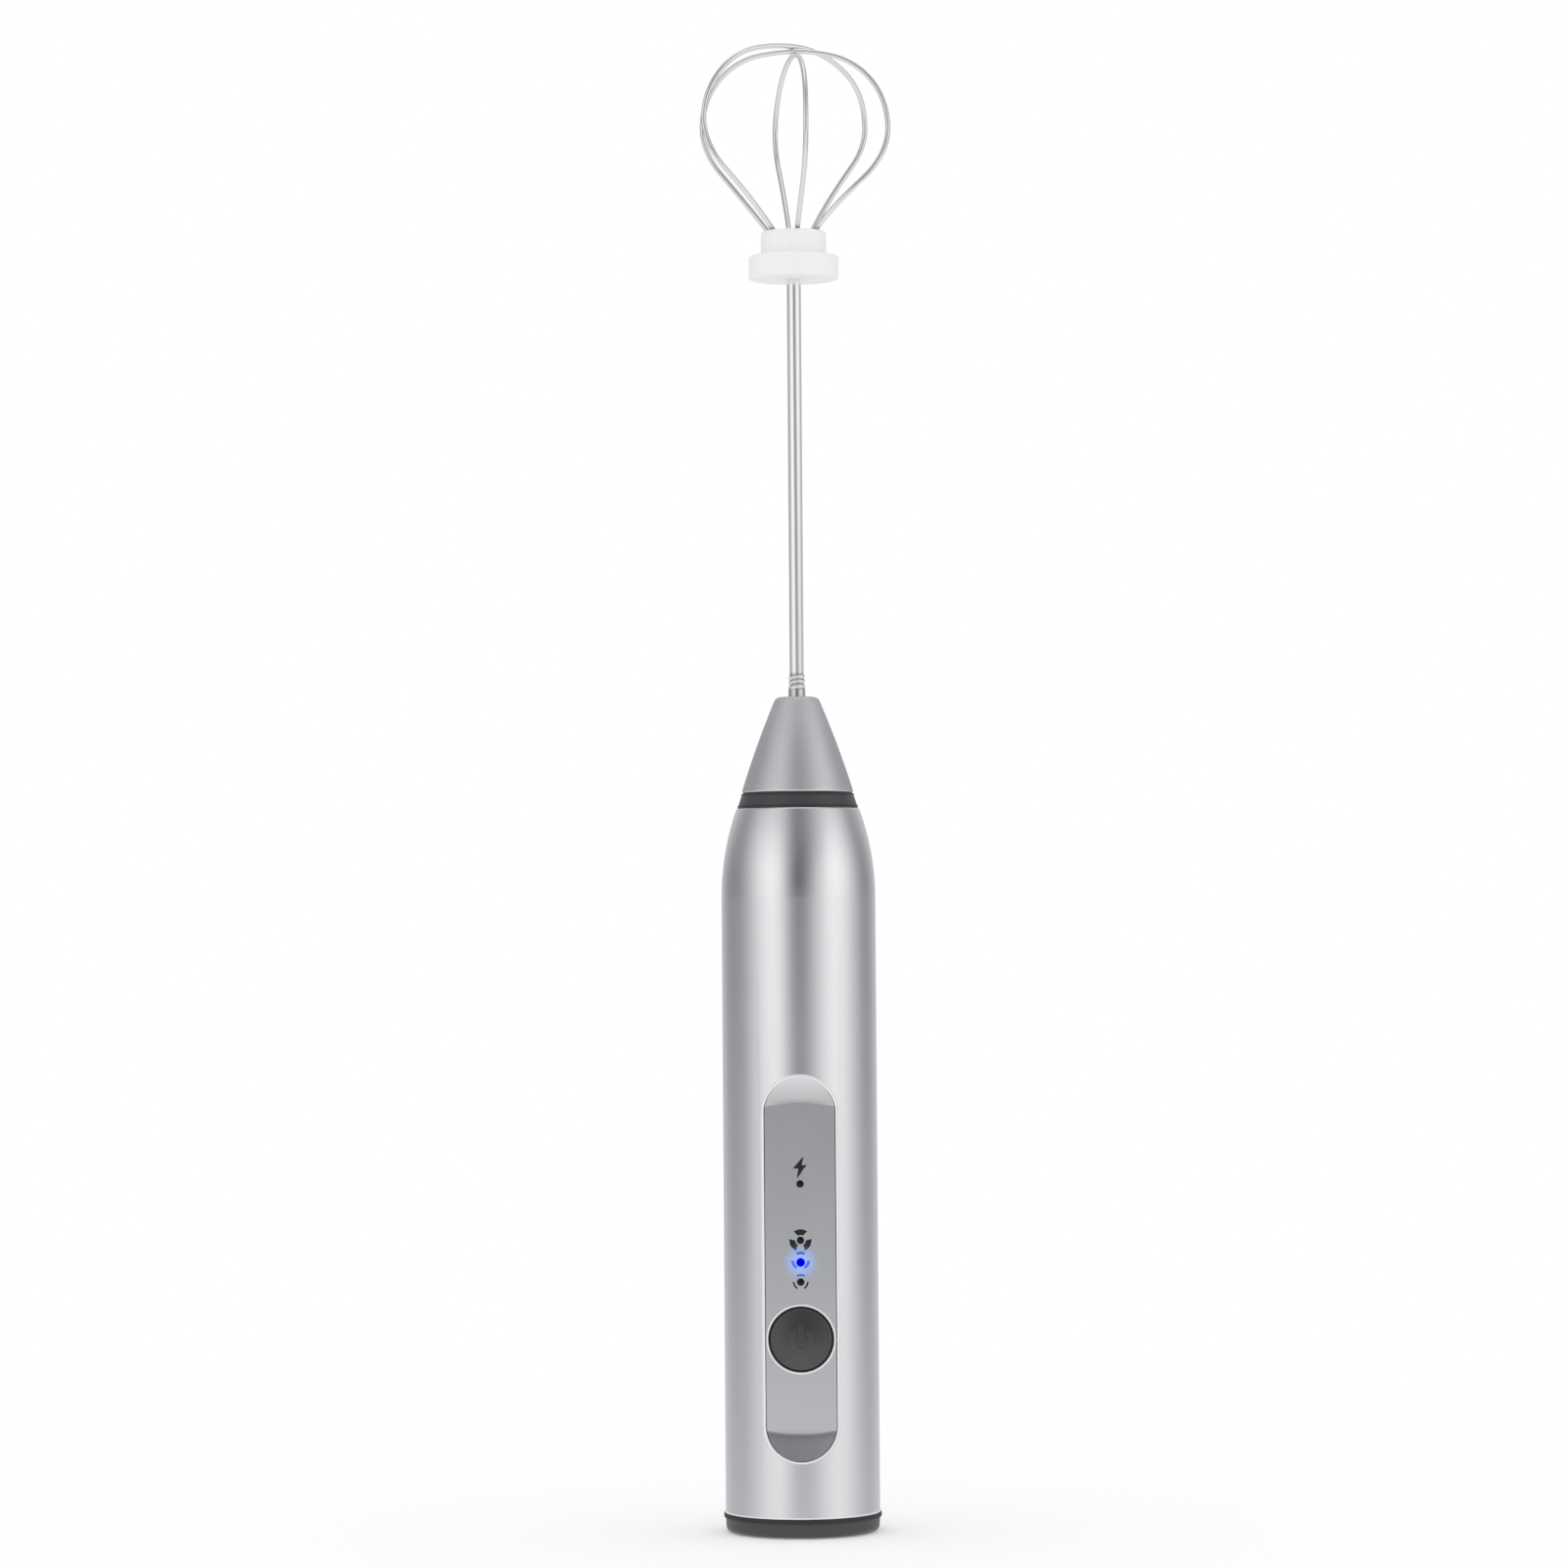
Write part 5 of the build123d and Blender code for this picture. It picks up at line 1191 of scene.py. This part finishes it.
floor_mesh = bpy.data.meshes.new("floor")
floor_radius = np.linspace(0, FLOOR_RADIUS, FLOOR_ROWS)
floor_grid = revolve(np.stack([floor_radius, 0 * floor_radius - FLOOR_DROP], axis=1), FLOOR_COLUMNS)
floor_index = np.arange(FLOOR_ROWS * FLOOR_COLUMNS).reshape(FLOOR_ROWS, FLOOR_COLUMNS)
floor_quads = grid_corners(floor_index, True, False).reshape(-1, 4)
floor_mesh.from_pydata(floor_grid.reshape(-1, 3).tolist(), [], floor_quads.tolist())
floor_mesh.materials.append(floor_paint())
floor = bpy.data.objects.new("floor", floor_mesh)
scene.collection.objects.link(floor)
floor.visible_glossy = False
print("floor:", len(floor_mesh.polygons), "faces")

# %% [markdown]
# ## Light
# Rough metal shows what stands round it, so the light is mostly a matter of what it mirrors. The
# object stands between two tall soft boxes, a narrower one to the left and a wider one to the right,
# with the dark side of the studio behind the camera, a white sheet behind the object, a pale ceiling
# and a floor that is brightest in the middle. Area lamps could stand for the boxes. A world that is a
# function of direction gives the same mirror image with no grain. Everything that is not a mirror sees
# plain white at strength 1, so a colour renders as it is written.

# %% Studio
DARK_SIDE, DARK_HIGH = 0.255, 0.32
DARK_FROM, DARK_TO = 3, 12
DARK_TINT, WHITE = (0.96, 0.98, 1.06, 1), (1, 1, 1, 1)
BOX_LIGHT = 0.85
# Each box: its middle, its reach to the left and right, in degrees, and the share of it half-way up
BOXES = ((-38, 66, 36, 1.04), (57, 54, 64, 0.82))
REACH_FROM, REACH_TO, REGAIN_FROM, REGAIN_TO = 1, 24, 27, 42
DIP_LIGHT, DIP_REACH = -0.24, 27
DIP_FROM, DIP_TO, DIP_TOP_FROM, DIP_TOP_TO, DIP_TOP_LEFT = -5, 1, 10, 32, 0.4
SHEET_FROM, SHEET_HIGH, SHEET_TO, SHEET_LIGHT = 118, 102, 168, 0.38
SHEET_LOW_AT, SHEET_HIGH_AT = 5, 25
BOX_TOP_FROM, BOX_TOP_TO, BOX_TOP_LEFT = 6, 50, 0.28
CEILING_FROM, CEILING_TO, CEILING_LIGHT = 52, 85, 0.65
GROUND_FROM, GROUND_TO = 2, -13
FAR_GROUND, NEAR_GROUND = 0.72, 0.88
FAR_AT, NEAR_AT = -8, -40
GROUND_MIDDLE, MIDDLE_REACH = 0.12, 30
NARROW_FROM, NARROW_TO, NARROW = 4, -9, 1.10
WIDE_FROM, WIDE_TO, WIDE = 5, 45, 0.87


def studio_level(tree):
    """Brightness by direction: dark side, two boxes, sheet and ceiling, fading into the ground below.

    Each of them is a smooth step of the angle round the object or of the angle above the ground.
    """
    x, y, z = split_axes(tree, tree.nodes.new("ShaderNodeTexCoord").outputs["Generated"])
    around = math_node(tree, "ARCTAN2", x, math_node(tree, "MULTIPLY", y, -1.0))
    around = math_node(tree, "DEGREES", around)
    above = math_node(tree, "DEGREES", math_node(tree, "ARCSINE", z))
    off = math_node(tree, "ABSOLUTE", around)
    for spread in ((NARROW_FROM, NARROW_TO, 1.0, NARROW), (WIDE_FROM, WIDE_TO, 1.0, WIDE)):
        around = math_node(tree, "MULTIPLY", around, map_range(tree, above, *spread))
    height = map_range(tree, above, BOX_TOP_FROM, BOX_TOP_TO, 1.0, BOX_TOP_LEFT)
    level = map_range(tree, above, DARK_FROM, DARK_TO, DARK_SIDE, DARK_HIGH)
    for centre, left_reach, right_reach, mid_share in BOXES:
        share = map_range(tree, above, REACH_FROM, REACH_TO, 1.0, mid_share)
        regain = map_range(tree, above, REGAIN_FROM, REGAIN_TO, 1.0, 1.0 / mid_share)
        share = math_node(tree, "MULTIPLY", share, regain)
        left_end = math_node(tree, "MULTIPLY_ADD", share, -left_reach, centre)
        right_end = math_node(tree, "MULTIPLY_ADD", share, right_reach, centre)
        left = map_range(tree, around, left_end, centre, 0.0, BOX_LIGHT)
        right = map_range(tree, around, centre, right_end, 1.0, 0.0)
        box = math_node(tree, "MULTIPLY", math_node(tree, "MULTIPLY", left, right), height)
        level = math_node(tree, "ADD", level, box)
    dip = map_range(tree, above, DIP_FROM, DIP_TO, 0.0, DIP_LIGHT)
    dip_top = map_range(tree, above, DIP_TOP_FROM, DIP_TOP_TO, 1.0, DIP_TOP_LEFT)
    dip = map_range(tree, off, 0.0, DIP_REACH, math_node(tree, "MULTIPLY", dip, dip_top), 0.0)
    sheet_from = map_range(tree, above, SHEET_LOW_AT, SHEET_HIGH_AT, SHEET_FROM, SHEET_HIGH)
    sheet = map_range(tree, off, sheet_from, SHEET_TO, 0.0, SHEET_LIGHT)
    ceiling = map_range(tree, above, CEILING_FROM, CEILING_TO, 0.0, CEILING_LIGHT)
    for light in (dip, sheet, ceiling):
        level = math_node(tree, "ADD", level, light)
    ground = map_range(tree, above, FAR_AT, NEAR_AT, FAR_GROUND, NEAR_GROUND)
    middle = map_range(tree, off, 0.0, MIDDLE_REACH, GROUND_MIDDLE, 0.0)
    ground = math_node(tree, "ADD", ground, middle)
    return mix(tree, map_range(tree, above, GROUND_FROM, GROUND_TO), level, ground)


def studio_world():
    """White for every ray but a mirrored one, which sees the studio."""
    world = bpy.data.worlds.new("studio")
    world.use_nodes = True
    world.cycles.sampling_method = "NONE"
    tree = world.node_tree
    mirrored = tree.nodes.new("ShaderNodeLightPath").outputs["Is Glossy Ray"]
    level = mix(tree, mirrored, 1.0, studio_level(tree))
    backdrop = tree.nodes["Background"]
    connect(tree, mix(tree, level, DARK_TINT, WHITE, "RGBA"), backdrop.inputs["Color"])
    connect(tree, level, backdrop.inputs["Strength"])
    return world


scene.world = studio_world()
print("world:", scene.world.name, "with", len(BOXES), "soft boxes")
